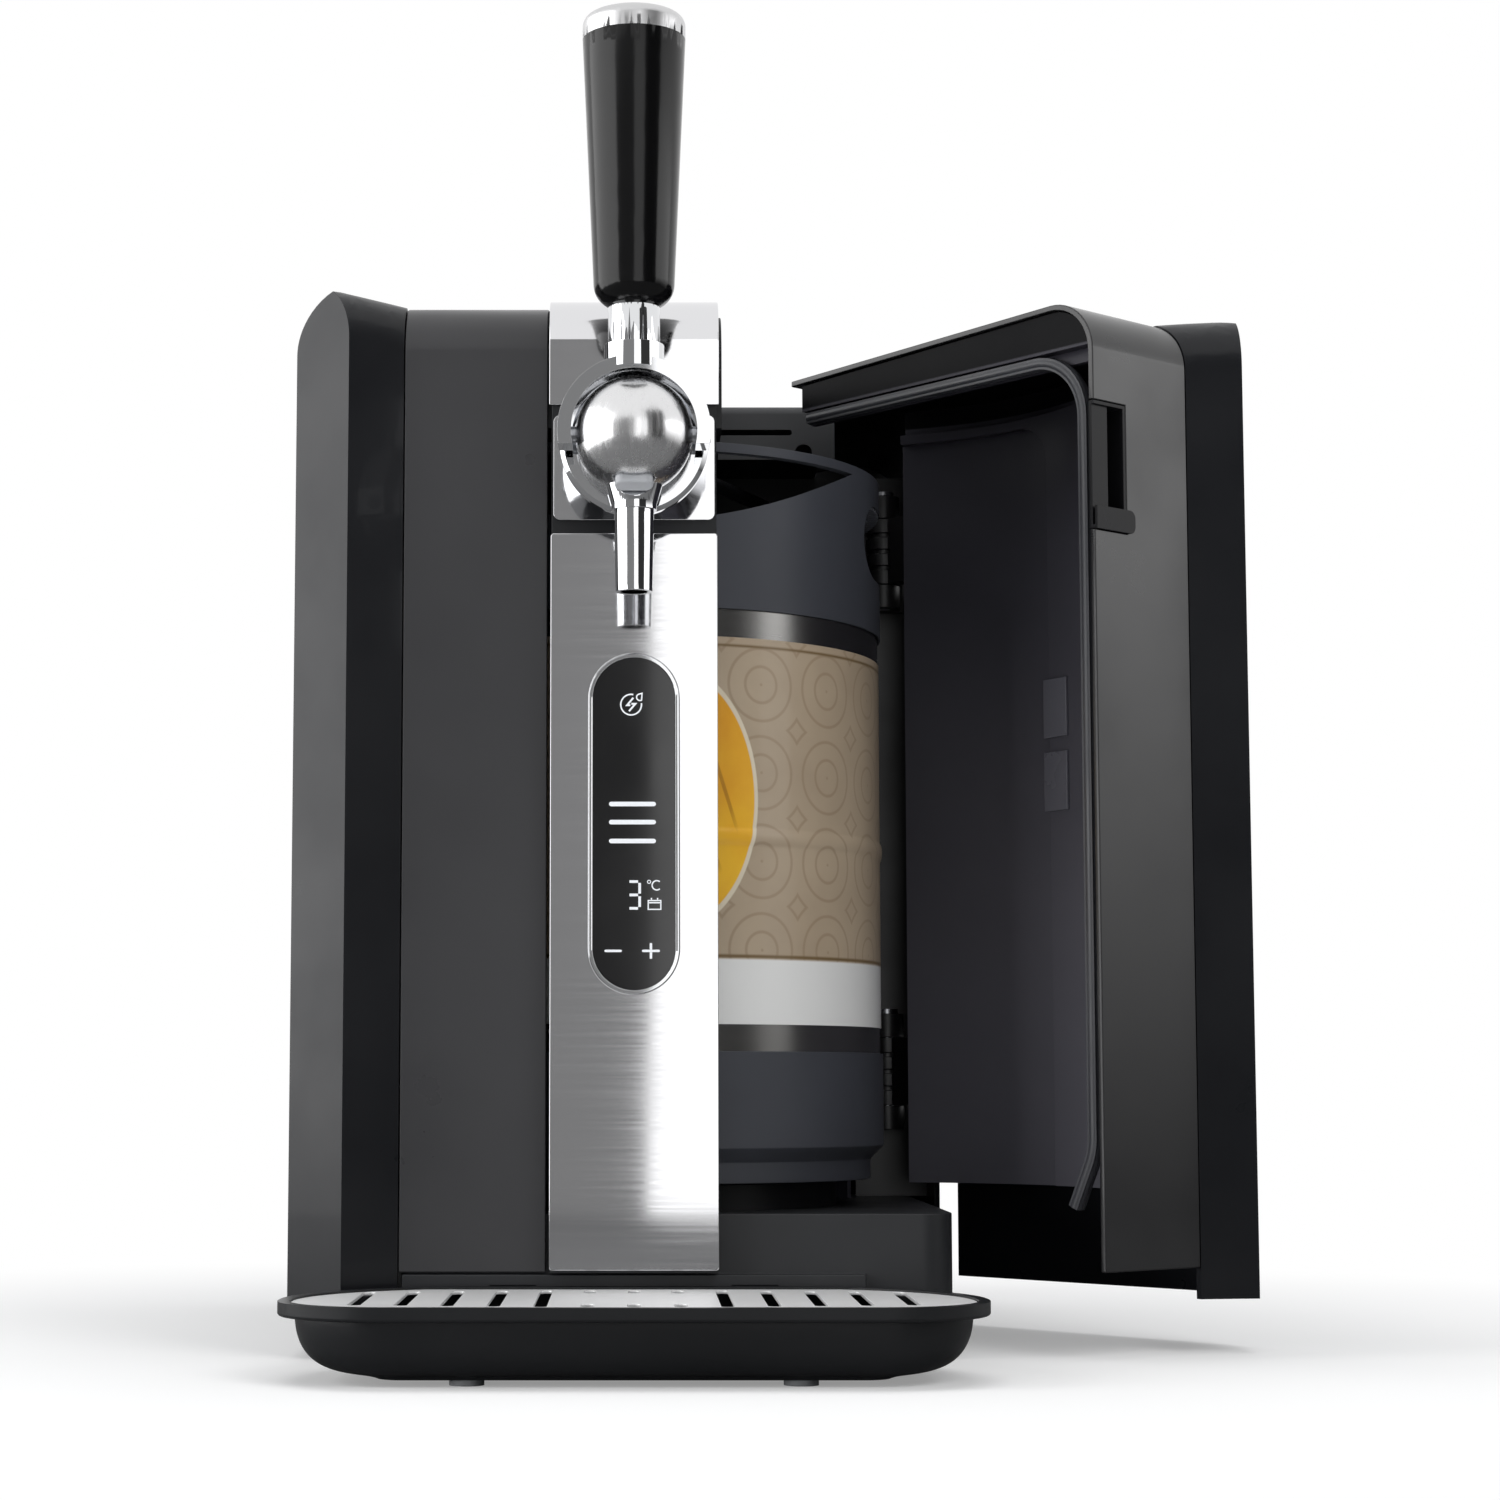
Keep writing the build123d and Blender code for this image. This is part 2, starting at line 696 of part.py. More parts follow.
# The fan's axis runs along Y through the middle of the heat sink
with BuildPart() as fan_frame:
    with BuildSketch(Plane.XZ.offset(-fan_front)):
        with Locations((0, cooler_level)):
            RectangleRounded(fan_size, fan_size, 5)
            Circle(fan_bore, mode=Mode.SUBTRACT)
            with GridLocations(0.9 * fan_size, 0.9 * fan_size, 2, 2):
                Circle(fan_hole, mode=Mode.SUBTRACT)
    extrude(amount=-fan_depth)
    with BuildSketch(Plane.XZ.offset(-fan_front - fan_depth + fan_spoke)):
        with Locations((0, cooler_level)):
            Circle(fan_hub)
            Rectangle(2 * fan_bore + 1, fan_spoke)
            Rectangle(fan_spoke, 2 * fan_bore + 1)
    extrude(amount=-fan_spoke)
    with BuildSketch(Plane.XZ.offset(-fan_front - fan_depth / 4)):
        with Locations((0, cooler_level)):
            Circle(fan_shaft)
    extrude(amount=-0.75 * fan_depth)
save(fan_frame.part, "fan_frame")

with BuildPart() as fan_rotor:
    rotor_depth = fan_depth - fan_spoke - 2 * fit_gap - 1
    with BuildSketch(Plane.XZ.offset(-fan_front - fit_gap)):
        with Locations((0, cooler_level)):
            Circle(fan_hub)
    extrude(amount=-rotor_depth)
    blade_middle = fan_front + fit_gap + rotor_depth / 2
    blade_root = 0.8 * fan_hub
    for number in range(blade_count):
        turn = 360 / blade_count * number
        flat = cos(radians(blade_pitch))
        across = (cos(radians(turn)) * flat, -sin(radians(turn)) * flat)
        outward = (sin(radians(turn)), cos(radians(turn)))
        blade_plane = Plane(
            origin=(blade_root * outward[0], blade_middle, cooler_level + blade_root * outward[1]),
            x_dir=(across[0], sin(radians(blade_pitch)), across[1]),
            z_dir=(outward[0], 0, outward[1]),
        )
        with BuildSketch(blade_plane):
            SlotOverall(rotor_depth, blade_thickness)
        extrude(amount=blade_length)
    with BuildSketch(Plane.XZ.offset(-fan_front - fan_depth / 4 + fit_gap)):
        with Locations((0, cooler_level)):
            Circle(fan_shaft + running_gap)
    extrude(amount=-fan_depth, mode=Mode.SUBTRACT)
save(fan_rotor.part, "fan_rotor")

with BuildPart() as power_supply:
    supply_top = pan_floor + supply_height
    with Locations((supply_x, supply_y, (pan_floor + supply_top) / 2)):
        Box(supply_width, supply_depth, supply_height)
    with BuildSketch(Plane.XY.offset(supply_top)):
        with Locations((supply_x, supply_y)):
            with GridLocations(supply_width / 10, 1, 8, 1):
                SlotOverall(0.7 * supply_depth, vent_slot, rotation=90)
    extrude(amount=-skin, mode=Mode.SUBTRACT)
    # terminal block
    block_y = supply_y - supply_depth / 2 - supply_height / 8
    with Locations((supply_x, block_y, pan_floor + supply_height / 4)):
        Box(0.7 * supply_width, supply_height / 4, supply_height / 2)
save(power_supply.part, "power_supply")

with BuildPart() as main_board:
    board_x = -(plinth_half_width - board_thickness)
    with Locations((board_x, board_y, board_level)):
        Box(board_thickness, board_depth, board_height)
    with Locations(
        (board_x + relay_size / 2, board_y - relay_size, board_level - relay_size),
        (board_x + relay_size / 2, board_y + relay_size, board_level - relay_size),
        (board_x + relay_size / 2, board_y, board_level + 2 * relay_size),
    ):
        Box(relay_size, relay_size, 1.5 * relay_size)
    # its foot, standing on the plinth
    foot_length = board_level - board_height / 2 - plinth_top
    with Locations((board_x, board_y, plinth_top + foot_length / 2)):
        Box(2 * board_thickness, board_depth / 3, foot_length)
save(main_board.part, "main_board")

with BuildPart() as air_pump:
    pump_level = pan_floor + pump_radius + 1
    head_x = pump_left + pump_length + pump_head / 4
    with BuildSketch(Plane.YZ.offset(pump_left)):
        with Locations((pump_y, pump_level)):
            Circle(pump_radius)
    extrude(amount=pump_length)
    with Locations((head_x, pump_y, pump_level - 1)):
        Box(pump_head, 2 * pump_radius + 4, 2 * pump_radius)
    with BuildSketch(Plane.XY.offset(pump_level + pump_radius - 2)):
        with Locations((hose_x, pump_y)):
            Circle(hose_radius + 1.5)
    extrude(amount=hose_bottom - pump_level - pump_radius + 2)
save(air_pump.part, "air_pump")

# ---------------------------------------------------------------- keg
def drum_outline(grow):
    """Half outline of the steel drum from its axis outwards, larger by grow."""
    r = drum_radius + grow
    bead = keg_bottom + bead_height
    low = drum_bottom - grow
    high = drum_top + grow
    corner = drum_corner + grow
    with BuildSketch(Plane.XZ) as outline:
        with BuildLine():
            Line((0, low), (r - corner, low))
            RadiusArc((r - corner, low), (r, low + corner), -corner)
            Line((r, low + corner), (r, bead - bead_half))
            ThreePointArc((r, bead - bead_half), (r + bead_bulge, bead), (r, bead + bead_half))
            Line((r, bead + bead_half), (r, high - corner))
            RadiusArc((r, high - corner), (r - corner, high), -corner)
            Line((r - corner, high), (0, high))
            Line((0, high), (0, low))
        make_face()
    return outline.sketch


with BuildPart() as keg_drum:
    add(drum_outline(0))
    revolve(axis=Axis.Z)
    add(drum_outline(-drum_sheet))
    revolve(axis=Axis.Z, mode=Mode.SUBTRACT)
    with Locations((0, 0, drum_top)):
        Cylinder(valve_radius, 4 * drum_sheet, mode=Mode.SUBTRACT)
save(keg_drum.part, "keg_drum")

with BuildPart() as keg_label:
    add(drum_outline(label_thickness + running_gap))
    revolve(axis=Axis.Z)
    with BuildSketch(Plane.XY.offset(label_low)):
        Circle(2 * drum_radius)
    extrude(amount=label_height, mode=Mode.INTERSECT)
    add(drum_outline(running_gap))
    revolve(axis=Axis.Z, mode=Mode.SUBTRACT)
save(keg_label.part, "keg_label")

with BuildPart() as keg_lower_collar:
    with BuildSketch(Plane.XZ):
        with BuildLine():
            Polyline(
                (keg_foot_radius - keg_foot_width, keg_bottom),
                (keg_foot_radius, keg_bottom),
                (keg_foot_radius, keg_bottom + keg_foot_height),
                (keg_radius, keg_bottom + keg_foot_height + keg_radius - keg_foot_radius),
                (keg_radius, keg_bottom + lower_collar_height),
                (keg_foot_radius - keg_foot_width, keg_bottom + lower_collar_height),
                close=True,
            )
        make_face()
    revolve(axis=Axis.Z)
    add(drum_outline(fit_gap))
    revolve(axis=Axis.Z, mode=Mode.SUBTRACT)
save(keg_lower_collar.part, "keg_lower_collar")

with BuildPart() as keg_upper_collar:
    collar_floor = drum_top + collar_wall / 2
    with BuildSketch(Plane.XZ):
        with BuildLine():
            Polyline(
                (drum_radius - 2 * drum_corner, keg_top - upper_collar_height),
                (keg_radius, keg_top - upper_collar_height),
                (keg_radius, keg_top),
                (keg_radius - collar_wall, keg_top),
                (keg_radius - collar_wall, collar_floor),
                (drum_radius - 2 * drum_corner, collar_floor),
                close=True,
            )
        make_face()
    revolve(axis=Axis.Z)
    add(drum_outline(fit_gap))
    revolve(axis=Axis.Z, mode=Mode.SUBTRACT)
    # front window, with a curved lower edge and a bar left above it
    with BuildSketch(Plane.XZ):
        with BuildLine():
            window_top = keg_top - collar_ring
            Line((-window_half_width, window_top), (window_half_width, window_top))
            ThreePointArc(
                (-window_half_width, window_top),
                (0, window_top - window_depth),
                (window_half_width, window_top),
            )
        make_face()
    extrude(amount=2 * keg_radius, mode=Mode.SUBTRACT)
    # hand holes at both sides
    with BuildSketch(Plane.YZ.offset(-2 * keg_radius)):
        with Locations((0, keg_top - hand_hole_drop)):
            SlotOverall(hand_hole_width, hand_hole_height)
    extrude(amount=4 * keg_radius, mode=Mode.SUBTRACT)
save(keg_upper_collar.part, "keg_upper_collar")

valve_top = drum_top + valve_height
coupler_top = valve_top + coupler_height
with BuildPart() as keg_valve:
    with BuildSketch(Plane.XY.offset(drum_top - 2 * valve_height)):
        Circle(valve_radius - running_gap)
    extrude(amount=2 * valve_height)
    with BuildSketch(Plane.XY.offset(drum_top)):
        Circle(valve_radius + valve_flange)
    extrude(amount=valve_height)
    fillet(keg_valve.edges().group_by(Axis.Z)[-1], 2)
save(keg_valve.part, "keg_valve")

with BuildPart() as keg_coupler:
    with BuildSketch(Plane.XY.offset(valve_top)):
        Circle(coupler_radius)
    extrude(amount=coupler_height)
    fillet(keg_coupler.edges().group_by(Axis.Z)[-1], 5)
    with Locations((0, 0, valve_top + coupler_height / 2)):
        for turn in range(0, 180, 60):
            with Locations(Rotation(0, 0, turn)):
                Box(2 * (coupler_radius + coupler_wing), 3 * coupler_wing, coupler_height / 2)
save(keg_coupler.part, "keg_coupler")

with BuildPart() as beer_line:
    with BuildSketch(Plane.XZ.offset(coupler_radius)):
        with Locations((0, tap_height)):
            Circle(beer_line_radius)
            Circle(beer_line_radius / 2, mode=Mode.SUBTRACT)
    extrude(amount=keg_radius - coupler_radius - shank_inside)
save(beer_line.part, "beer_line")

hose_start = (hose_x, pump_y, hose_bottom)
hose_level = (keg_walls_top + ceiling_level) / 2
with BuildPart() as air_hose:
    with BuildLine() as hose_path:
        FilletPolyline(
            hose_start,
            (hose_x, pump_y, hose_level),
            (hose_end[0], hose_end[1], hose_level),
            (hose_end[0], hose_end[1], coupler_top),
            radius=hose_bend,
        )
    with BuildSketch(Plane(origin=hose_start, z_dir=(0, 0, 1))):
        Circle(hose_radius)
    sweep()
save(air_hose.part, "air_hose")

# ---------------------------------------------------------------- column and display
display_middle = display_bottom + display_height / 2
glass_width = display_width - 2 * display_ring
plate_back = plate_y + plate_thickness
column_back = panel_back - fit_gap


def pill(width, height, y_front, y_back):
    """An upright pill-shaped plate facing the front, round at both ends."""
    with BuildPart() as plate:
        with BuildSketch(Plane.XZ.offset(-y_back)):
            with Locations((0, display_middle)):
                SlotOverall(height, width, rotation=90)
        extrude(amount=y_back - y_front)
    return plate.part


cap_rear = plate_y + cap_depth
body_top = panel_top - plate_thickness - fit_gap
cheek_front = panel_back + fit_gap
cheek_top = panel_top - skin - 4 * fit_gap
cheek_back = ceiling_front - 2

with BuildPart() as column_body:
    # the narrow column under the bright plates and the cap
    with BuildSketch(Plane.YZ.offset(-column_half_width + fit_gap)):
        with BuildLine():
            FilletPolyline(
                (plate_back, panel_bottom),
                (plate_back, body_top),
                (cap_rear, body_top),
                radius=cap_round - plate_thickness + 1,
            )
            Polyline(
                (cap_rear, body_top),
                (cap_rear, head_bottom),
                (column_back, head_bottom),
                (column_back, panel_bottom),
                (plate_back, panel_bottom),
            )
        make_face()
    extrude(amount=2 * (column_half_width - fit_gap))
    # the wider head behind it, with cheeks up to the top cover
    with BuildSketch(Plane.YZ.offset(-head_half_width)):
        with BuildLine():
            FilletPolyline(
                (cheek_front, head_bottom),
                (cheek_front, cheek_top),
                (cheek_back, cheek_top),
                radius=panel_round - skin,
            )
            Polyline(
                (cheek_back, cheek_top),
                (cheek_back, ceiling_level),
                (cheek_front + head_depth, ceiling_level),
                (cheek_front + head_depth, head_bottom),
                (cheek_front, head_bottom),
            )
        make_face()
    extrude(amount=2 * head_half_width)
    # pocket behind the display and bore for the tap's shank
    pocket_height = display_height - 2 * pocket_step
    add(pill(glass_width - pocket_step, pocket_height, plate_y, plate_back + pocket_step), mode=Mode.SUBTRACT)
    with BuildSketch(Plane.XZ.offset(-column_back - 1)):
        with Locations((0, tap_height)):
            Circle(shank_tail_radius + fit_gap)
    extrude(amount=2 * column_depth, mode=Mode.SUBTRACT)
save(column_body.part, "column_body")

with BuildPart() as column_plate:
    with BuildSketch(Plane.XZ.offset(-plate_back)):
        with Locations((0, (plate_bottom + plate_top) / 2)):
            RectangleRounded(2 * column_half_width, plate_top - plate_bottom, 1.2)
    extrude(amount=plate_thickness)
    recess_width = display_width + 2 * running_gap
    add(pill(recess_width, display_height + 2 * running_gap, plate_y - 1, plate_back), mode=Mode.SUBTRACT)
save(column_plate.part, "column_plate")

with BuildPart() as tap_plate:
    with BuildSketch(Plane.XZ.offset(-plate_back)):
        with Locations((0, (tap_plate_bottom + tap_plate_top) / 2)):
            RectangleRounded(2 * tap_plate_half_width, tap_plate_top - tap_plate_bottom, 2.5)
        with Locations((0, tap_height)):
            Circle(shank_radius + fit_gap, mode=Mode.SUBTRACT)
    extrude(amount=plate_thickness)
save(tap_plate.part, "tap_plate")

# The cap is a bent sheet: its front face curves back over the top
with BuildPart() as column_cap:
    under_cap = panel_top - plate_thickness
    add(
        bent_panel(
            -cap_half_width,
            cap_half_width,
            [(plate_y, cap_bottom), (plate_y, panel_top), (cap_rear, panel_top)],
            [(plate_back, cap_bottom), (plate_back, under_cap), (cap_rear, under_cap)],
            cap_round,
            plate_thickness,
        )
    )
save(column_cap.part, "column_cap")

with BuildPart() as display_bezel:
    add(pill(display_width, display_height, plate_y - ring_proud, plate_back))
    opening = pill(glass_width, display_height - 2 * display_ring, plate_y - 1, plate_back + 1)
    add(opening, mode=Mode.SUBTRACT)
save(display_bezel.part, "display_bezel")

with BuildPart() as display_window:
    add(
        pill(
            glass_width - 2 * running_gap,
            display_height - 2 * display_ring - 2 * running_gap,
            plate_y - ring_proud / 2,
            plate_back,
        )
    )
save(display_window.part, "display_window")

with BuildPart() as display_board:
    board_front = plate_back + lamp_depth
    board_width = glass_width - 1.5 * pocket_step
    add(pill(board_width, display_height - 3 * pocket_step, board_front, board_front + board_thickness))
    # three lamp blocks between the window and the board
    for level in (-lamp_pitch, 0, lamp_pitch):
        with Locations((0, plate_back + lamp_depth / 2, display_middle + level)):
            Box(lamp_width, lamp_depth, 1.2 * lamp_width)
save(display_board.part, "display_board")

# ---------------------------------------------------------------- tap
# Its drum housing, shank and ball are turned about an axis along Y at the tap's height
with BuildPart() as tap_housing:
    rim_y = tap_y + housing_setback
    neck_y = rim_y + housing_length
    with BuildSketch(Plane.YZ) as outline:
        with BuildLine():
            Polyline(
                (rim_y, tap_height),
                (rim_y, tap_height + housing_radius - rim_chamfer),
                (rim_y + rim_chamfer, tap_height + housing_radius),
                (rim_y + rim_length, tap_height + housing_radius),
                (neck_y, tap_height + shank_radius + 2 * rim_chamfer),
                (neck_y, tap_height + shank_radius),
                (plate_back, tap_height + shank_radius),
                (plate_back, tap_height + shank_tail_radius),
                (-keg_radius + shank_inside, tap_height + shank_tail_radius),
                (-keg_radius + shank_inside, tap_height),
                close=True,
            )
        make_face()
    revolve(axis=Axis((0, 0, tap_height), (0, 1, 0)))
    with Locations((0, tap_y, tap_height)):
        Sphere(ball_radius + fit_gap, mode=Mode.SUBTRACT)
    with BuildSketch(Plane.XZ.offset(keg_radius)):
        with Locations((0, tap_height)):
            Circle(shank_bore)
    extrude(amount=-(shank_inside + shank_bore), mode=Mode.SUBTRACT)
save(tap_housing.part, "tap_housing")

tab_plane = Plane(
    origin=(
        0,
        tap_y - ball_radius * cos(radians(tab_slope)),
        tap_height - ball_radius * sin(radians(tab_slope)),
    ),
    x_dir=(1, 0, 0),
    z_dir=(0, -cos(radians(tab_slope)), -sin(radians(tab_slope))),
)
tab_depth = tab_travel + tab_seat

with BuildPart() as tap_ball:
    with Locations((0, tap_y, tap_height)):
        Sphere(ball_radius)
    with BuildSketch(Plane.YZ.offset(-2 * ball_radius)):
        with Locations((tap_y, tap_height)):
            Circle(axle_radius + running_gap)
    extrude(amount=4 * ball_radius, mode=Mode.SUBTRACT)
    with BuildSketch(tab_plane.offset(1)):
        SlotOverall(tab_width + 2 * fit_gap, tab_height + 2 * fit_gap)
    extrude(amount=-tab_depth - 1 - tab_travel, mode=Mode.SUBTRACT)
save(tap_ball.part, "tap_ball")

with BuildPart() as release_tab:
    with BuildSketch(tab_plane.offset(-tab_depth)):
        SlotOverall(tab_width, tab_height)
    extrude(amount=tab_depth + tab_proud)
    fillet(release_tab.faces().sort_by(Axis(tab_plane.origin, tab_plane.z_dir))[-1].edges(), tab_round)
save(release_tab.part, "release_tab")

spout_top = tap_height - ball_radius + spout_overlap

with BuildPart() as tap_spout:
    with BuildSketch(Plane.YZ):
        with BuildLine():
            Polyline(
                (tap_y, spout_top),
                (tap_y + spout_root_radius, spout_top),
                (tap_y + spout_radius + 1, spout_shoulder + 1),
                (tap_y + spout_radius + 1, spout_shoulder - 1),
                (tap_y + spout_radius, spout_shoulder - 1),
                (tap_y + spout_tip_radius, spout_bottom),
                (tap_y, spout_bottom),
                close=True,
            )
        make_face()
    revolve(axis=Axis((0, tap_y, 0), (0, 0, 1)))
    # the root reaches back to the housing
    with BuildSketch(Plane.XY.offset(spout_shoulder)):
        with Locations((0, tap_y + (housing_setback + spout_web) / 2)):
            Rectangle(spout_radius * 2, housing_setback + spout_web / 2)
    extrude(amount=spout_web)
    with BuildSketch(Plane.XY.offset(spout_bottom - 1)):
        with Locations((0, tap_y)):
            Circle(spout_bore)
    extrude(amount=spout_top - spout_bottom + spout_overlap, mode=Mode.SUBTRACT)
    # wider chamber under the ball
    with BuildSketch(Plane.XY.offset(tap_height - ball_radius - chamber_depth)):
        with Locations((0, tap_y)):
            Circle(spout_bore + chamber_step)
    extrude(amount=2 * chamber_depth, mode=Mode.SUBTRACT)
    with Locations((0, tap_y, tap_height)):
        Sphere(ball_radius + running_gap, mode=Mode.SUBTRACT)
    with BuildSketch(tab_plane.offset(-tab_depth)):
        SlotOverall(tab_width + 3 * fit_gap, tab_height + 3 * fit_gap)
    extrude(amount=3 * tab_depth, mode=Mode.SUBTRACT)
    with BuildSketch(Plane.XZ.offset(-tap_y - housing_setback)):
        with Locations((0, tap_height)):
            Circle(housing_radius + fit_gap)
    extrude(amount=-housing_length, mode=Mode.SUBTRACT)
save(tap_spout.part, "tap_spout")

visor_inner = ball_radius + visor_gap
visor_outer = visor_inner + visor_wall

with BuildPart() as tap_axle:
    with BuildSketch(Plane.YZ.offset(-visor_outer)):
        with Locations((tap_y, tap_height)):
            Circle(axle_radius)
    extrude(amount=2 * visor_outer)
save(tap_axle.part, "tap_axle")

with BuildPart() as lever_visor:
    with BuildSketch(Plane.XZ.offset(-tap_y - visor_back)):
        with Locations((0, tap_height)):
            Circle(visor_outer)
            Circle(visor_inner, mode=Mode.SUBTRACT)
            with Locations((0, -visor_outer - axle_radius - ear_end)):
                Rectangle(4 * visor_outer, 2 * visor_outer, mode=Mode.SUBTRACT)
    extrude(amount=visor_back + visor_front)
    with BuildSketch(Plane.XY.offset(tap_height + visor_inner + 1)):
        with Locations((0, tap_y)):
            Circle(stem_radius + socket_wall)
    extrude(amount=stem_bottom - tap_height - visor_inner - 1)
    with Locations((0, tap_y, tap_height)):
        Sphere(visor_inner, mode=Mode.SUBTRACT)
    # back of the stem's socket, clear of the housing
    with BuildSketch(Plane.XZ.offset(-tap_y - housing_setback + seam)):
        with Locations((0, tap_height)):
            Circle(housing_radius + seam)
    extrude(amount=-2 * stem_radius, mode=Mode.SUBTRACT)
    with BuildSketch(Plane.YZ.offset(-2 * visor_outer)):
        with Locations((tap_y, tap_height)):
            Circle(axle_radius + running_gap)
    extrude(amount=4 * visor_outer, mode=Mode.SUBTRACT)
save(lever_visor.part, "lever_visor")

with BuildPart() as lever_stem:
    with BuildSketch(Plane.XY.offset(stem_bottom)):
        with Locations((0, tap_y)):
            Circle(stem_radius)
    extrude(amount=grip_bottom - stem_bottom)
    with BuildSketch(Plane.XY.offset(grip_bottom)):
        with Locations((0, tap_y)):
            Circle(stem_stud)
    extrude(amount=3 * stem_stud)
save(lever_stem.part, "lever_stem")

with BuildPart() as lever_grip:
    with BuildSketch(Plane.XZ.offset(-tap_y)):
        with BuildLine():
            FilletPolyline(
                (0, grip_bottom),
                (grip_bottom_radius, grip_bottom),
                (grip_top_radius, grip_top),
                radius=grip_round,
            )
            Line((grip_top_radius, grip_top), (0, grip_top))
            Line((0, grip_top), (0, grip_bottom))
        make_face()
    revolve(axis=Axis((0, tap_y, 0), (0, 0, 1)))
    with BuildSketch(Plane.XY.offset(grip_bottom)):
        with Locations((0, tap_y)):
            Circle(stem_stud + running_gap)
    extrude(amount=3 * stem_stud + 1, mode=Mode.SUBTRACT)
save(lever_grip.part, "lever_grip")

with BuildPart() as lever_cap:
    with BuildSketch(Plane.XY.offset(grip_top)):
        with Locations((0, tap_y)):
            Circle(grip_top_radius)
    extrude(amount=cap_height)
    fillet(lever_cap.edges().group_by(Axis.Z)[-1], cap_crown)
save(lever_cap.part, "lever_cap")

# ---------------------------------------------------------------- drip tray
def tray_outline(across, along):
    """Plan outline of the drip tray's rim, drawn in by these amounts in X and in Y."""
    with BuildSketch() as outline:
        with Locations((0, tray_middle)):
            Rectangle(2 * (tray_half_width - across), tray_depth - 2 * along)
        front_row = outline.vertices().group_by(Axis.Y)[0]
        fillet(front_row, max(tray_front_corner - across, tray_least_corner))
        rear_row = outline.vertices().group_by(Axis.Y)[-1]
        fillet(rear_row, tray_rear_corner - across)
    return outline.sketch


def grille_outline(inset, back):
    """The grille's outline inside the rim: drawn in by inset and cut straight at the back."""
    with BuildSketch() as outline:
        add(tray_outline(inset, inset))
        with Locations((0, back + tray_depth)):
            Rectangle(4 * tray_half_width, 2 * tray_depth, mode=Mode.SUBTRACT)
    return outline.sketch


def tray_bowl(inset, top, floor):
    """The bowl's round-bottomed body: outlines that draw in towards the floor."""
    rim = tray_top - tray_rim_height
    with BuildPart() as bowl:
        for depth, across, along in bowl_outlines:
            with BuildSketch(Plane.XY.offset(max(rim - depth, floor))):
                add(tray_outline(across + inset, along + inset))
        loft()
        with BuildSketch(Plane.XY.offset(rim)):
            add(tray_outline(bowl_outlines[0][1] + inset, bowl_outlines[0][2] + inset))
        extrude(amount=top - rim)
    return bowl.part


grille_back = plate_y - ring_proud - 2 * fit_gap
grille_level = tray_top - grille_sink - grille_thickness
tray_floor = tray_top - tray_rim_height - bowl_outlines[-1][0]

with BuildPart() as drip_tray:
    with BuildSketch(Plane.XY.offset(tray_top - tray_rim_height)):
        add(tray_outline(0, 0))
    extrude(amount=tray_rim_height)
    fillet(drip_tray.edges().group_by(Axis.Z)[0], rim_round)
    add(tray_bowl(0, tray_top - tray_rim_height + 1, 0))
    with BuildSketch(Plane.XY.offset(grille_level)):
        add(grille_outline(tray_lip, grille_back + fit_gap))
    extrude(amount=tray_rim_height, mode=Mode.SUBTRACT)
    add(tray_bowl(tray_wall, grille_level, tray_floor + tray_wall), mode=Mode.SUBTRACT)
    for side in (-1, 1):
        with Locations((side * lug_x, tray_back + lug_depth / 2 - 2, tray_top - tray_rim_height / 2)):
            Box(lug_width, lug_depth, tray_rim_height - 2)
save(drip_tray.part, "drip_tray")

with BuildPart() as tray_feet:
    with BuildSketch():
        with Locations((0, tray_middle)):
            with GridLocations(2 * tray_foot_x, tray_foot_spread, 2, 2):
                Circle(tray_foot_radius)
    extrude(amount=tray_floor)
save(tray_feet.part, "tray_feet")

with BuildPart() as drip_grille:
    with BuildSketch(Plane.XY.offset(grille_level)):
        add(grille_outline(tray_lip + fit_gap, grille_back))
    extrude(amount=grille_thickness)
    with BuildSketch(Plane.XY.offset(grille_level)):
        for number in range(slots_each_side):
            x = slot_pitch * (number + 2)
            with Locations((x, tray_middle), (-x, tray_middle)):
                SlotOverall(slot_length - slot_shortening * number, slot_width, rotation=90)
        with Locations((0, tray_middle)):
            with GridLocations(slot_pitch, slot_length - short_slot, 3, 2):
                SlotOverall(short_slot, slot_width, rotation=90)
    extrude(amount=grille_thickness, mode=Mode.SUBTRACT)
save(drip_grille.part, "drip_grille")

# ---------------------------------------------------------------- power inlet and base screws
with BuildPart() as power_inlet:
    with BuildSketch(Plane.XZ.offset(-rear_y + skin)):
        with Locations((inlet_x, inlet_level)):
            RectangleRounded(inlet_width + 2 * inlet_border, inlet_height + 2 * inlet_border, 2)
    extrude(amount=inlet_depth - skin)
    with BuildSketch(Plane.XZ.offset(-rear_y)):
        with Locations((inlet_x, inlet_level)):
            RectangleRounded(inlet_width - 2 * fit_gap, inlet_height - 2 * fit_gap, inlet_corner)
    extrude(amount=skin)
    with BuildSketch(Plane.XZ.offset(-rear_y)):
        with Locations((inlet_x, inlet_level)):
            RectangleRounded(inlet_width - 2 * inlet_wall, inlet_height - 2 * inlet_wall, inlet_corner)
    extrude(amount=inlet_depth - inlet_wall, mode=Mode.SUBTRACT)
    # three contact blades
    with BuildSketch(Plane.XZ.offset(-rear_y + inlet_depth)):
        with Locations((inlet_x, inlet_level)):
            with GridLocations(2 * blade_spacing, 1, 2, 1):
                Rectangle(2, 5)
            with Locations((0, blade_spacing / 2)):
                Rectangle(2, 5)
    extrude(amount=-0.6 * inlet_depth)
save(power_inlet.part, "power_inlet")

base_screw_places = [
    (side * spread, y)
    for side in (-1, 1)
    for spread, y in zip(base_screw_spread, (front_y + base_screw_inset, foot_rear))
]

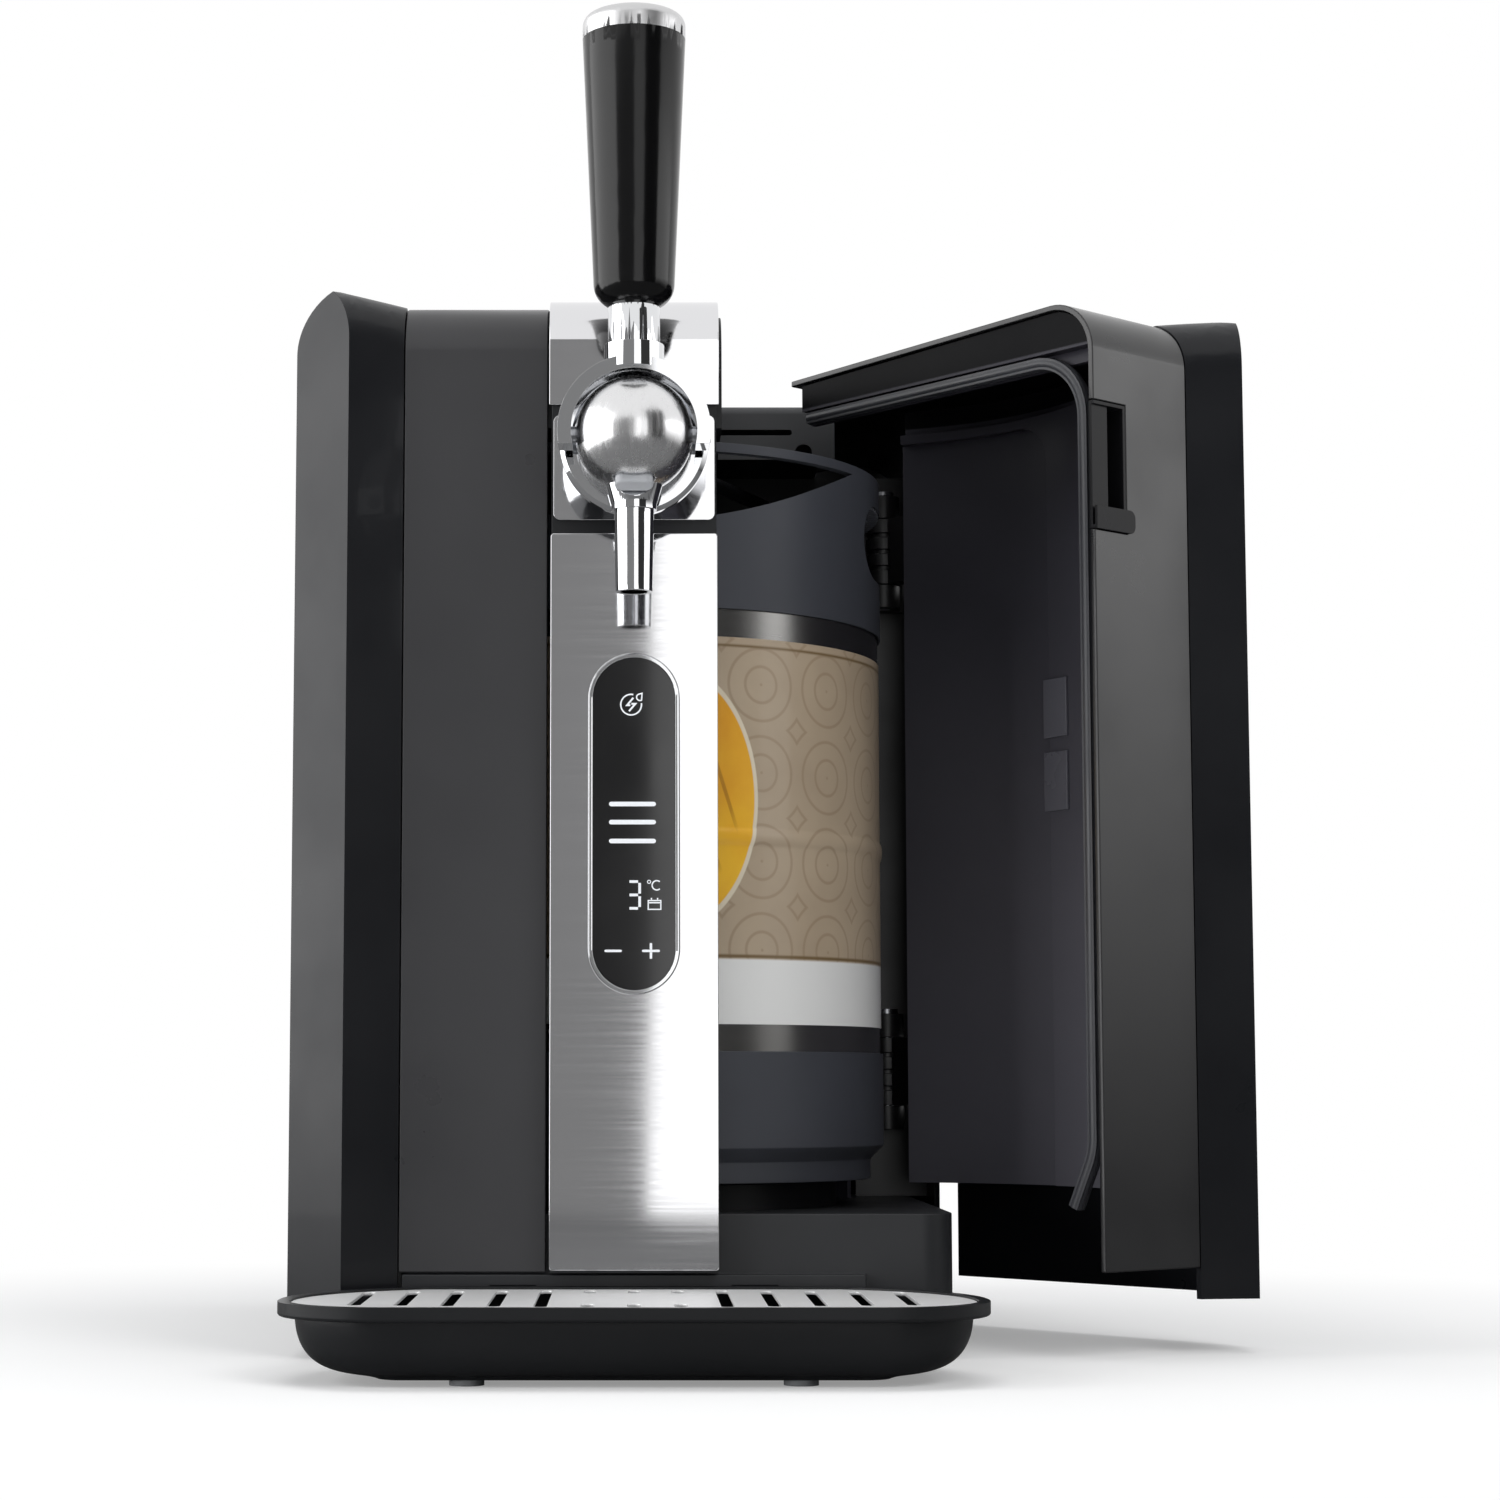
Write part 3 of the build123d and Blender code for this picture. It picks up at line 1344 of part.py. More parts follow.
with BuildPart() as base_screws:
    with BuildSketch(Plane.XY.offset(foot_height)):
        with Locations(*base_screw_places):
            Circle(screw_radius)
            Rectangle(screw_radius, screw_radius / 4, mode=Mode.SUBTRACT)
    extrude(amount=-screw_radius / 2)
save(base_screws.part, "base_screws")

# ---------------------------------------------------------------- hinges
pillar_front = hinge_y + pillar_gap

with BuildPart() as hinge_pillar:
    pillar_left = bay_radius - 2 * knuckle_radius
    pillar_x = (pillar_left + core_half_width) / 2
    with Locations((pillar_x, pillar_front + skin / 2, (plinth_top + ceiling_level) / 2)):
        Box(core_half_width - pillar_left, skin, ceiling_level - plinth_top)
save(hinge_pillar.part, "hinge_pillar")

bracket_knuckle = (leaf_height - leaf_knuckle) / 2 - fit_gap

with BuildPart() as hinge_brackets:
    for middle in leaf_middles:
        with Locations((hinge_x, pillar_front - bracket_plate / 2, middle)):
            Box(2.6 * knuckle_radius, bracket_plate, leaf_height)
        for end in (-1, 1):
            level = middle + end * (leaf_height - bracket_knuckle) / 2
            with Locations((hinge_x, hinge_y, level)):
                Cylinder(knuckle_radius, bracket_knuckle)
            with Locations((hinge_x, hinge_y + (pillar_gap - 1) / 2, level)):
                Box(1.4 * knuckle_radius, pillar_gap - 1, bracket_knuckle)
        with Locations((hinge_x, hinge_y, middle)):
            Cylinder(pin_radius + running_gap, 2 * leaf_height, mode=Mode.SUBTRACT)
save(hinge_brackets.part, "hinge_brackets")

with BuildPart() as hinge_pins:
    for middle in leaf_middles:
        with Locations((hinge_x, hinge_y, middle)):
            Cylinder(pin_radius, leaf_height)
        with Locations((hinge_x, hinge_y, middle + leaf_height / 2 + pin_head / 2)):
            Cylinder(pin_radius + 2, pin_head)
save(hinge_pins.part, "hinge_pins")


def hinge_arms(grow):
    """The two hinge leaves in the closed door: knuckle, arm and foot pad, larger by grow."""
    with BuildPart() as arms:
        for middle in leaf_middles:
            arm_front = hinge_y - arm_reach
            with Locations((hinge_x, (arm_front + hinge_y) / 2, middle)):
                Box(arm_width + 2 * grow, arm_reach + 2 * grow, leaf_knuckle + 2 * grow)
            pad_left = hinge_x - arm_width / 2
            with Locations(((pad_left + core_half_width) / 2, arm_front + arm_pad / 2, middle)):
                Box(core_half_width - pad_left + 2 * grow, arm_pad + 2 * grow, leaf_knuckle + 2 * grow)
    return arms.part


with BuildPart() as hinge_leaves:
    add(hinge_arms(0))
    for middle in leaf_middles:
        with Locations((hinge_x, hinge_y, middle)):
            Cylinder(knuckle_radius, leaf_knuckle)
        # grooves round the knuckle
        for step in (-1, 0, 1):
            with Locations((hinge_x, hinge_y, middle + step * leaf_knuckle / 4)):
                Cylinder(knuckle_radius + 1, groove_width, mode=Mode.SUBTRACT)
                Cylinder(knuckle_radius - groove_depth, groove_width)
        with Locations((hinge_x, hinge_y, middle)):
            Cylinder(pin_radius + running_gap, leaf_height, mode=Mode.SUBTRACT)
save_on_door(hinge_leaves.part, "hinge_leaves")

# ---------------------------------------------------------------- door, drawn closed and turned open
def sweep_cut():
    """Keeps a door piece outside the round seam about the hinge line."""
    with Locations((hinge_x, hinge_y, shell_top / 2)):
        Cylinder(door_sweep, 2 * shell_top, mode=Mode.SUBTRACT)


with BuildPart() as door_front_top_panel:
    add(front_panel(door_edge, panel_half_width - seam / 2, panel_bottom))
    pull_left = door_edge - 1
    with Locations(((pull_left + door_edge + pull_width) / 2, front_y, pull_bottom + pull_height / 2)):
        Box(pull_width + 1, 4 * skin, pull_height, mode=Mode.SUBTRACT)
save_on_door(door_front_top_panel.part, "door_front_top_panel")

with BuildPart() as door_side_shell:
    add(side_solid(1, 0))
    add(side_solid(1, skin), mode=Mode.SUBTRACT)
    with BuildSketch():
        with Locations((half_width / 2, door_split - rear_depth * 2)):
            Rectangle(2 * half_width, 4 * rear_depth)
    extrude(amount=shell_top, mode=Mode.INTERSECT)
    sweep_cut()
save_on_door(door_side_shell.part, "door_side_shell")


strip_left = gasket_x + gasket_radius + 2 * fit_gap
roof_left = head_half_width + 1
roof_back = door_split - 2 * skin
roof_step = gasket_top + gasket_radius + 2 * fit_gap
recess_top = rear_top - skin - 2 * fit_gap - bay_wall
core_top = panel_top - panel_round
core_front = panel_back + running_gap
pull_middle = pull_bottom + pull_height / 2
# the round wall's ends: at the front panel, and where the door sweeps past the nose
to_hinge = sqrt(hinge_x**2 + hinge_y**2)
sweep_spread = acos((bay_radius**2 + to_hinge**2 - door_sweep**2) / (2 * bay_radius * to_hinge))
rear_angle = degrees(atan2(hinge_y, hinge_x) - sweep_spread)
front_angle = degrees(asin(core_front / bay_radius))


def door_core(inset):
    """The door's body between its round inner wall and the outer shells, drawn in by inset."""
    rear_side_y = hinge_y - sqrt(door_sweep**2 - (core_half_width - hinge_x) ** 2)
    sweep_point = (hinge_x + 2, hinge_y - sqrt(door_sweep**2 - 2**2))
    with BuildPart() as core:
        with BuildSketch(Plane.XY.offset(liner_bottom + inset)):
            with BuildLine():
                Polyline(
                    polar(bay_radius, front_angle),
                    (panel_half_width - 2, core_front),
                    (panel_half_width - 1, upper_front),
                    (prow_edge, upper_front),
                    (core_half_width, upper_front + prow_length * 0.8),
                    (core_half_width, rear_side_y),
                )
                ThreePointArc((core_half_width, rear_side_y), sweep_point, polar(bay_radius, rear_angle))
                ThreePointArc(
                    polar(bay_radius, rear_angle),
                    polar(bay_radius, (rear_angle + front_angle) / 2),
                    polar(bay_radius, front_angle),
                )
            make_face()
            if inset:
                offset(amount=-inset, kind=Kind.INTERSECTION, mode=Mode.REPLACE)
        extrude(amount=core_top - liner_bottom - 2 * inset)
    return core.part


def door_roof():
    """The liner over the door's body: round wall, ceiling plate and the rim that carries the gasket."""
    lead = panel_back + fit_gap
    under = panel_top - skin - fit_gap
    with BuildPart() as roof:
        low = core_top - bay_wall
        add(bay_ring(bay_radius, bay_radius + bay_wall, front_angle, rear_angle, low, recess_top + bay_wall))
        with BuildSketch(Plane.XY.offset(recess_top)):
            Circle(bay_radius + bay_wall)
            with Locations((roof_left + half_width, (lead + roof_back) / 2)):
                Rectangle(2 * half_width, roof_back - lead, mode=Mode.INTERSECT)
        extrude(amount=bay_wall)
        rim_right = strip_left + rim_width
        with Locations(((roof_left + rim_right) / 2, (lead + roof_back) / 2, (roof_step + panel_top) / 2)):
            Box(rim_right - roof_left, roof_back - lead, panel_top - roof_step)
        with Locations(((strip_left + rim_right) / 2, (lead + roof_back) / 2, roof_step)):
            Box(rim_width, roof_back - lead, 4 * gasket_radius)
        # all of it inside the top panel and its bend
        with BuildSketch(Plane.YZ):
            with BuildLine():
                bend = panel_round - skin - fit_gap
                FilletPolyline(
                    (lead, liner_bottom),
                    (lead, under),
                    (roof_back, under - rear_slope),
                    radius=bend,
                )
                Polyline(
                    (roof_back, under - rear_slope),
                    (roof_back, liner_bottom),
                    (lead, liner_bottom),
                )
            make_face()
        extrude(amount=half_width, mode=Mode.INTERSECT)
        sweep_cut()
    return roof.part


def liner_frame():
    """Raised band on the round wall, from its front edge back to the recess, which has a rounded corner."""
    middle = (frame_edge_angle + rear_angle) / 2
    band_front = degrees(asin(core_front / (bay_radius + bay_wall / 2)))
    edge = -bay_radius * sin(radians(middle - frame_edge_angle))
    band_inner = bay_radius - frame_thickness
    band_outer = bay_radius + bay_wall / 2
    across = (-sin(radians(middle)), cos(radians(middle)), 0)
    outward = (cos(radians(middle)), sin(radians(middle)), 0)
    with BuildPart() as band:
        add(bay_ring(band_inner, band_outer, band_front, rear_angle, liner_bottom, core_top))
        with BuildSketch(Plane(origin=(0, 0, 0), x_dir=across, z_dir=outward)) as window:
            with Locations((edge + bay_radius, (core_top - frame_height) / 2)):
                Rectangle(2 * bay_radius, core_top - frame_height)
            fillet(window.vertices().group_by(Axis.Y)[-1], frame_round)
        extrude(amount=2 * bay_radius, mode=Mode.SUBTRACT)
    return band.part


with BuildPart() as door_liner:
    add(door_core(0))
    # frame strip beside the gasket
    with BuildSketch(Plane.XY.offset(liner_bottom)):
        with Locations((strip_left + strip_width / 2, panel_back + running_gap + skin)):
            Rectangle(strip_width, 2 * skin)
    extrude(amount=ceiling_level - liner_bottom)
    add(liner_frame())
    add(door_roof())
    add(door_core(bay_wall), mode=Mode.SUBTRACT)
    add(hinge_arms(fit_gap), mode=Mode.SUBTRACT)
    with Locations((door_edge + pull_width / 2, panel_back, pull_middle)):
        Box(pull_width + 4 * fit_gap, 3 * pull_well_depth, pull_height + 2 * fit_gap, mode=Mode.SUBTRACT)
save_on_door(door_liner.part, "door_liner")

with BuildPart() as door_insulation:
    add(door_core(bay_wall + fit_gap))
    add(hinge_arms(2 * fit_gap), mode=Mode.SUBTRACT)
    with Locations((door_edge + pull_width / 2, panel_back, pull_middle)):
        Box(pull_width + 8 * fit_gap, 3 * pull_well_depth, pull_height + 4 * fit_gap, mode=Mode.SUBTRACT)
save_on_door(door_insulation.part, "door_insulation")

with BuildPart() as door_gasket:
    with BuildLine() as gasket_path:
        FilletPolyline(
            (gasket_x, door_split - 8, gasket_top),
            (gasket_x, gasket_y, gasket_top),
            (gasket_x, gasket_y, gasket_slant_top),
            (gasket_x, gasket_y + gasket_kick, gasket_end),
            radius=gasket_bend,
        )
    with BuildSketch(Plane(origin=gasket_path.line @ 0, z_dir=gasket_path.line % 0)):
        Circle(gasket_radius)
    sweep()
save_on_door(door_gasket.part, "door_gasket")

with BuildPart() as door_pull:
    pull_right = door_edge + pull_width - fit_gap
    well_left = strip_left + 1
    well_back = panel_back + pull_well_depth
    with BuildSketch(Plane.XY.offset(pull_bottom + fit_gap)):
        with BuildLine():
            Polyline(
                (door_edge, front_y),
                (pull_right, front_y),
                (pull_right, well_back),
                (well_left, well_back - 2 * pull_wall),
                (well_left, panel_back),
                (door_edge, panel_back),
                close=True,
            )
        make_face()
    extrude(amount=pull_height - 2 * fit_gap)
    with BuildSketch(Plane.XY.offset(pull_bottom + fit_gap + pull_wall)):
        with BuildLine():
            Polyline(
                (door_edge - 1, front_y - 1),
                (pull_right - pull_wall, front_y - 1),
                (pull_right - pull_wall, well_back - pull_wall),
                (well_left + pull_wall, well_back - 3 * pull_wall),
                (well_left + pull_wall, panel_back - pull_wall),
                (door_edge - 1, panel_back - pull_wall),
                close=True,
            )
        make_face()
    extrude(amount=pull_height - 2 * fit_gap - 2 * pull_wall, mode=Mode.SUBTRACT)
    # hooked lip at the lower end, standing out in front of the panel
    with BuildSketch(Plane.XZ.offset(-front_y)) as lip:
        with Locations(((door_edge + pull_right + pull_lip_reach) / 2, pull_bottom + pull_lip / 2)):
            Rectangle(pull_right + pull_lip_reach - door_edge, pull_lip)
        fillet(lip.vertices().group_by(Axis.X)[-1], pull_lip / 3)
    extrude(amount=pull_lip_proud)
save_on_door(door_pull.part, "door_pull")

with BuildPart() as door_catches:
    # flat on the round band, so their ends just meet it
    catch_reach = sqrt((bay_radius - frame_thickness) ** 2 - (catch_width / 2) ** 2) - catch_depth / 2
    for level in catch_levels:
        with Locations(Rotation(0, 0, catch_angle)):
            with Locations((catch_reach, 0, level + catch_height / 2)):
                Box(catch_depth, catch_width, catch_height)
    fillet(door_catches.edges().filter_by(Axis.Z), catch_depth / 4)
save_on_door(door_catches.part, "door_catches")
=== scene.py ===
import json
import math

import bmesh
import bpy
from mathutils import Matrix, Vector


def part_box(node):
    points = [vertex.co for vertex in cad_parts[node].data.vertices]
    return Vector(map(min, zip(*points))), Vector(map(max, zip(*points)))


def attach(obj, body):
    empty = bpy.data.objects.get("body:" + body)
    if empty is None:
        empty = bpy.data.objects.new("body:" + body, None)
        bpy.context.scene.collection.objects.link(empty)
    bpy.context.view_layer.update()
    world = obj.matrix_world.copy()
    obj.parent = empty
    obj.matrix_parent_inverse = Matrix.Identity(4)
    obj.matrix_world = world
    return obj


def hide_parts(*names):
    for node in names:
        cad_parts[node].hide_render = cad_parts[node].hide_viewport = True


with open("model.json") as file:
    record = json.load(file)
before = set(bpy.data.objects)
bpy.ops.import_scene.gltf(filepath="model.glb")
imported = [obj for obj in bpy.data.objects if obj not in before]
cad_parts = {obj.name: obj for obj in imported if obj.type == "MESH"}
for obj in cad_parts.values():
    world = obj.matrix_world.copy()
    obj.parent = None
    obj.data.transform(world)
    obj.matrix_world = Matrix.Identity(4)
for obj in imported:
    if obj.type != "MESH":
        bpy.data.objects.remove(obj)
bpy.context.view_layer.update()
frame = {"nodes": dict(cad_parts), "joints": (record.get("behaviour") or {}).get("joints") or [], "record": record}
MM = 0.001


# ---------------------------------------------------------------- node networks
class Network:
    """A node tree with a short way to add a node, set its inputs and link it."""

    def __init__(self, tree):
        self.nodes, self.links = tree.nodes, tree.links

    def add(self, kind, inputs=None, **settings):
        """A new node; inputs gives each socket a value, or another node's output to link to it."""
        node = self.nodes.new(kind)
        for key, value in settings.items():
            setattr(node, key, value)
        for socket, value in (inputs or {}).items():
            if isinstance(value, bpy.types.NodeSocket):
                self.links.new(value, node.inputs[socket])
            else:
                node.inputs[socket].default_value = value
        return node


# ---------------------------------------------------------------- finishes
# scales are in clouds per metre, depths in metres
COAT_ROUGH = 0.05
PLASTIC_DRIFT, PLASTIC_GLOSS = 9.0, 24.0
PLASTIC_GRAIN, PLASTIC_DEPTH = 900.0, 0.00006
BRUSH_LINES, BRUSH_DEPTH, METAL_SMUDGES = 600.0, 0.00003, 14.0
RUBBER_GLOSS, RUBBER_GRAIN, RUBBER_DEPTH = 60.0, 1400.0, 0.00008


def srgb(red, green, blue):
    """A linear colour from the 0 to 255 values that a screen shows."""
    def linear(value):
        value /= 255.0
        return value / 12.92 if value <= 0.04045 else ((value + 0.055) / 1.055) ** 2.4
    return (linear(red), linear(green), linear(blue), 1.0)


def grey(level):
    """A linear grey of one level from 0 to 1."""
    return (level, level, level, 1.0)


class Finish(Network):
    """A material with short ways to add the nodes that every finish needs."""

    def __init__(self, name, base, rough, metallic=0.0, coat=0.0, specular=0.5):
        self.material = bpy.data.materials.new(name)
        self.material.use_nodes = True
        super().__init__(self.material.node_tree)
        self.shader = self.nodes["Principled BSDF"]
        self.place = self.add("ShaderNodeTexCoord").outputs["Object"]
        for socket, value in (
            ("Base Color", base), ("Roughness", rough), ("Metallic", metallic),
            ("Coat Weight", coat), ("Coat Roughness", COAT_ROUGH), ("Specular IOR Level", specular),
        ):
            self.shader.inputs[socket].default_value = value

    def stretch(self, scale):
        """Object coordinates scaled along each axis."""
        return self.add("ShaderNodeMapping", {"Vector": self.place, "Scale": scale}).outputs["Vector"]

    def axes(self):
        """The place on the piece as separate X, Y and Z."""
        return self.add("ShaderNodeSeparateXYZ", {0: self.place}).outputs

    def noise(self, scale, detail=3.0, along=None):
        """Cloudy noise with scale clouds in a metre."""
        vector = along or self.place
        node = self.add("ShaderNodeTexNoise", {"Vector": vector, "Scale": scale, "Detail": detail})
        return node.outputs["Fac"]

    def math(self, kind, first, second=0.0):
        """One step of arithmetic on sockets or numbers."""
        return self.add("ShaderNodeMath", {0: first, 1: second}, operation=kind).outputs[0]

    def spread(self, value, low, high, start=0.3, end=0.7):
        """A value's range from start to end mapped to low to high."""
        node = self.add("ShaderNodeMapRange", {
            "Value": value, "From Min": start, "From Max": end, "To Min": low, "To Max": high,
        })
        return node.outputs["Result"]

    def above(self, value, edge, soft):
        """1 where value is above an edge, 0 below it, and soft to both sides of it."""
        return self.spread(value, 0.0, 1.0, edge - soft, edge + soft)

    def below(self, value, edge, soft):
        """1 where value is below an edge, 0 above it, and soft to both sides of it."""
        return self.spread(value, 1.0, 0.0, edge - soft, edge + soft)

    def band(self, value, low, high, soft=0.0004):
        """1 where value lies between low and high, with soft edges."""
        return self.math("MULTIPLY", self.above(value, low, soft), self.below(value, high, soft))

    def distance(self, across, up):
        """How far a place is from the point that across and up are measured from."""
        squares = (self.math("MULTIPLY", side, side) for side in (across, up))
        return self.math("SQRT", self.math("ADD", *squares))

    def mix(self, value, first, second):
        """Two colours mixed by a value; each is a colour or a socket."""
        return self.add("ShaderNodeMix", {0: value, 6: first, 7: second}, data_type="RGBA").outputs[2]

    def feed(self, socket, value):
        """Links a value to one of the shader's inputs."""
        self.links.new(value, self.shader.inputs[socket])

    def bump(self, value, strength, distance):
        """Bumps of this height in metres, from a value."""
        node = self.add("ShaderNodeBump", {"Height": value, "Strength": strength, "Distance": distance})
        self.feed("Normal", node.outputs["Normal"])


def moulded_plastic(
    name, base, deep, rough, grain=PLASTIC_GRAIN, bump=0.12, coat=0.0, spread=0.07, specular=0.5,
):
    """Moulded plastic: fine grain, slow colour drift and uneven gloss."""
    finish = Finish(name, base, rough, coat=coat, specular=specular)
    drift = finish.spread(finish.noise(PLASTIC_DRIFT), 0.0, 1.0)
    finish.feed("Base Color", finish.mix(drift, base, deep))
    gloss = finish.spread(finish.noise(PLASTIC_GLOSS, 5.0), rough - spread, rough + spread)
    finish.feed("Roughness", gloss)
    finish.bump(finish.noise(grain, 2.0), bump, PLASTIC_DEPTH)
    return finish.material


def polished_metal(name, base, rough, along=(1.0, 1.0, 1.0), brush=0.0, smudge=0.03, metallic=1.0):
    """Bright metal: faint brush lines along one axis and slow smudges in its gloss."""
    finish = Finish(name, base, rough, metallic=metallic)
    lines = finish.noise(BRUSH_LINES, 2.0, finish.stretch(along))
    smudges = finish.spread(finish.noise(METAL_SMUDGES), rough, rough + smudge)
    finish.feed("Roughness", finish.math("ADD", finish.spread(lines, 0.0, brush), smudges))
    if brush:
        finish.bump(lines, 0.25 * brush, BRUSH_DEPTH)
    return finish.material


def elastomer(name, base, rough):
    """Rubber: even colour, fine grain and a dull, slightly uneven gloss."""
    finish = Finish(name, base, rough)
    finish.feed("Roughness", finish.spread(finish.noise(RUBBER_GLOSS, 4.0), rough - 0.08, rough + 0.08))
    finish.bump(finish.noise(RUBBER_GRAIN, 2.0), 0.2, RUBBER_DEPTH)
    return finish.material


def display_ink():
    """Pale print on the display that glows a little."""
    ink = srgb(205, 208, 212)
    finish = Finish("display symbol", ink, 0.5)
    finish.shader.inputs["Emission Color"].default_value = ink
    finish.shader.inputs["Emission Strength"].default_value = 0.5
    finish.feed("Roughness", finish.spread(finish.noise(80.0), 0.4, 0.6))
    return finish.material


def door_liner_painted_light():
    """Liner of the door with painted light and shade: glossy and painted near black above the seal's top run,
    where the inner ceiling is in shade, and painted lighter towards its foot, where more light reaches it.
    """
    foot_level, shoulder_level, crown_level = 0.08, 0.37, 0.3853
    wall_specular, crown_specular = 0.2, 0.05
    finish = Finish("door liner with painted light and shade", srgb(68, 67, 75), 0.42, specular=wall_specular)
    level = finish.axes()[2]
    # painted light: the wall is painted lighter towards its foot and darker towards its shoulder, standing in for
    # light that reaches the lower wall; a slow random drift of tone is mixed in after
    painted_light_rise = finish.spread(level, 0.0, 1.0, foot_level, shoulder_level)
    painted_light_and_drift = finish.mix(painted_light_rise, srgb(108, 107, 115), srgb(52, 51, 58))
    painted_light_and_drift = finish.mix(finish.spread(finish.noise(PLASTIC_DRIFT), 0.0, 0.25), painted_light_and_drift, srgb(58, 57, 65))
    # painted shade: the inner ceiling above the seal's top run is painted near black and its reflection is turned
    # down; it is also made a little glossier
    crown_shade_mask = finish.above(level, crown_level, 0.0003)
    finish.feed("Base Color", finish.mix(crown_shade_mask, painted_light_and_drift, srgb(14, 14, 16)))
    finish.feed("Specular IOR Level", finish.spread(crown_shade_mask, wall_specular, crown_specular, 0.0, 1.0))
    gloss = finish.spread(finish.noise(PLASTIC_GLOSS, 5.0), 0.36, 0.48)
    finish.feed("Roughness", finish.math("SUBTRACT", gloss, finish.math("MULTIPLY", crown_shade_mask, 0.1)))
    finish.bump(finish.noise(PLASTIC_GRAIN, 2.0), 0.12, PLASTIC_DEPTH)
    return finish.material


def keg_print():
    """Printed keg sleeve: beige with ring outlines, a golden disc in a pale ring, and a white foot band."""
    sleeve_radius = 0.1006
    ring_pitch, ring_gap, ring_line = 0.034, 0.0035, 0.00055
    disc_across, disc_level, disc_squash = 0.012, 0.2105, 0.72
    disc_radius, rim_radius, rim_soft = 0.0358, 0.0374, 0.0002
    stalk_gap, stalk_line, stalk_reach = 0.0055, 0.0007, 0.028
    foot_band, fine_lines = (0.1245, 0.1495), ((0.1500, 0.1512), (0.2690, 0.2700))

    finish = Finish("keg sleeve print", srgb(190, 172, 148), 0.34, coat=0.2)
    x, y, z = finish.axes()
    angle = finish.math("ARCTAN2", x, finish.math("MULTIPLY", y, -1.0))
    unrolled = finish.math("MULTIPLY", angle, sleeve_radius)

    def from_middle(value):
        """How far a value is from the middle of the ring that it falls in."""
        return finish.math("SUBTRACT", finish.math("PINGPONG", value, ring_pitch), ring_pitch / 2)

    drift = finish.spread(finish.noise(30.0, 4.0), 0.0, 1.0)
    colour = finish.mix(drift, srgb(184, 166, 142), srgb(172, 154, 131))
    ripple = finish.math("PINGPONG", finish.distance(from_middle(unrolled), from_middle(z)), ring_gap)
    rings = finish.below(ripple, ring_line, 0.00025)
    colour = finish.mix(finish.math("MULTIPLY", rings, 0.5), colour, srgb(146, 124, 98))
    # the golden disc in its pale ring
    across = finish.math("SUBTRACT", unrolled, disc_across)
    up = finish.math("MULTIPLY", finish.math("SUBTRACT", z, disc_level), disc_squash)
    reach = finish.distance(across, up)
    colour = finish.mix(finish.below(reach, rim_radius, rim_soft), colour, srgb(226, 214, 190))
    drift = finish.spread(finish.noise(26.0, 4.0), 0.0, 1.0)
    gold = finish.mix(drift, srgb(246, 190, 44), srgb(226, 150, 22))
    colour = finish.mix(finish.below(reach, disc_radius, rim_soft), colour, gold)
    # slanting grain stalks over the disc
    slant = finish.math("ADD", finish.math("MULTIPLY", across, 0.9), finish.math("MULTIPLY", up, 0.42))
    stalk = finish.below(finish.math("PINGPONG", slant, stalk_gap), stalk_line, 0.0002)
    stalks = finish.math("MULTIPLY", stalk, finish.below(reach, stalk_reach, 0.002))
    colour = finish.mix(finish.math("MULTIPLY", stalks, 0.55), colour, srgb(150, 92, 14))
    # the white foot band and a fine line near each edge of the sleeve
    colour = finish.mix(finish.band(z, *foot_band), colour, srgb(236, 236, 234))
    for fine_line in fine_lines:
        colour = finish.mix(finish.band(z, *fine_line), colour, srgb(120, 98, 66))
    finish.feed("Base Color", colour)
    finish.feed("Roughness", finish.spread(finish.noise(18.0, 4.0), 0.28, 0.42))
    finish.bump(finish.noise(500.0, 2.0), 0.05, 0.00005)
    return finish.material


# plastics of the casing, the door and the tray, and the keg's collars and sleeve
SHELL = moulded_plastic(
    "satin shell grey", srgb(26, 27, 30), srgb(22, 23, 26), rough=0.34, coat=0.08, specular=0.22)
PANEL = moulded_plastic(
    "panel grey", srgb(57, 57, 59), srgb(52, 52, 54), rough=0.34, coat=0.1, specular=0.4)
DOOR_PANEL = moulded_plastic(
    "door panel grey", srgb(24, 24, 26), srgb(20, 20, 22), rough=0.34, coat=0.3)
BACK_PLASTIC = moulded_plastic(
    "grained back grey", srgb(52, 53, 55), srgb(46, 47, 49), rough=0.55, grain=500.0, bump=0.4)
BASE_BLACK = moulded_plastic(
    "base black", srgb(42, 43, 46), srgb(36, 37, 39), rough=0.42, specular=0.4)
INNER_BLACK = moulded_plastic(
    "inner black", srgb(24, 25, 28), srgb(18, 19, 21), rough=0.42, specular=0.35)
LINER = moulded_plastic(
    "bay liner grey", srgb(68, 67, 75), srgb(61, 60, 68), rough=0.42)
COLLAR = moulded_plastic(
    "keg collar slate", srgb(64, 66, 73), srgb(58, 60, 66), rough=0.48, grain=700.0, bump=0.25)
TRAY_BLACK = moulded_plastic(
    "tray black", srgb(28, 29, 31), srgb(24, 25, 27), rough=0.36, specular=0.3)
CATCH = moulded_plastic(
    "catch grey", srgb(104, 104, 112), srgb(96, 96, 104), rough=0.22, grain=600.0, coat=0.3)
HINGE = moulded_plastic(
    "hinge black", srgb(30, 30, 32), srgb(22, 22, 24), rough=0.4, grain=400.0, bump=0.3)
TAB = moulded_plastic(
    "release tab grey", srgb(176, 178, 182), srgb(166, 168, 172), rough=0.25, coat=0.3)
SHADED_DOOR_LINER = door_liner_painted_light()
PRINT = keg_print()

# smooth trim, glass and print
TRIM_BLACK = moulded_plastic(
    "trim black", srgb(24, 24, 26), srgb(20, 20, 22), rough=0.3, bump=0.03, spread=0.03, specular=0.15)
GRIP_BLACK = moulded_plastic(
    "grip black", srgb(10, 10, 11), srgb(8, 8, 9), rough=0.16, bump=0.02, spread=0.03, specular=0.32)
GLASS = moulded_plastic(
    "display black glass", srgb(9, 9, 11), srgb(7, 7, 9), rough=0.08, bump=0.0, coat=0.5, spread=0.03)
SYMBOL = display_ink()

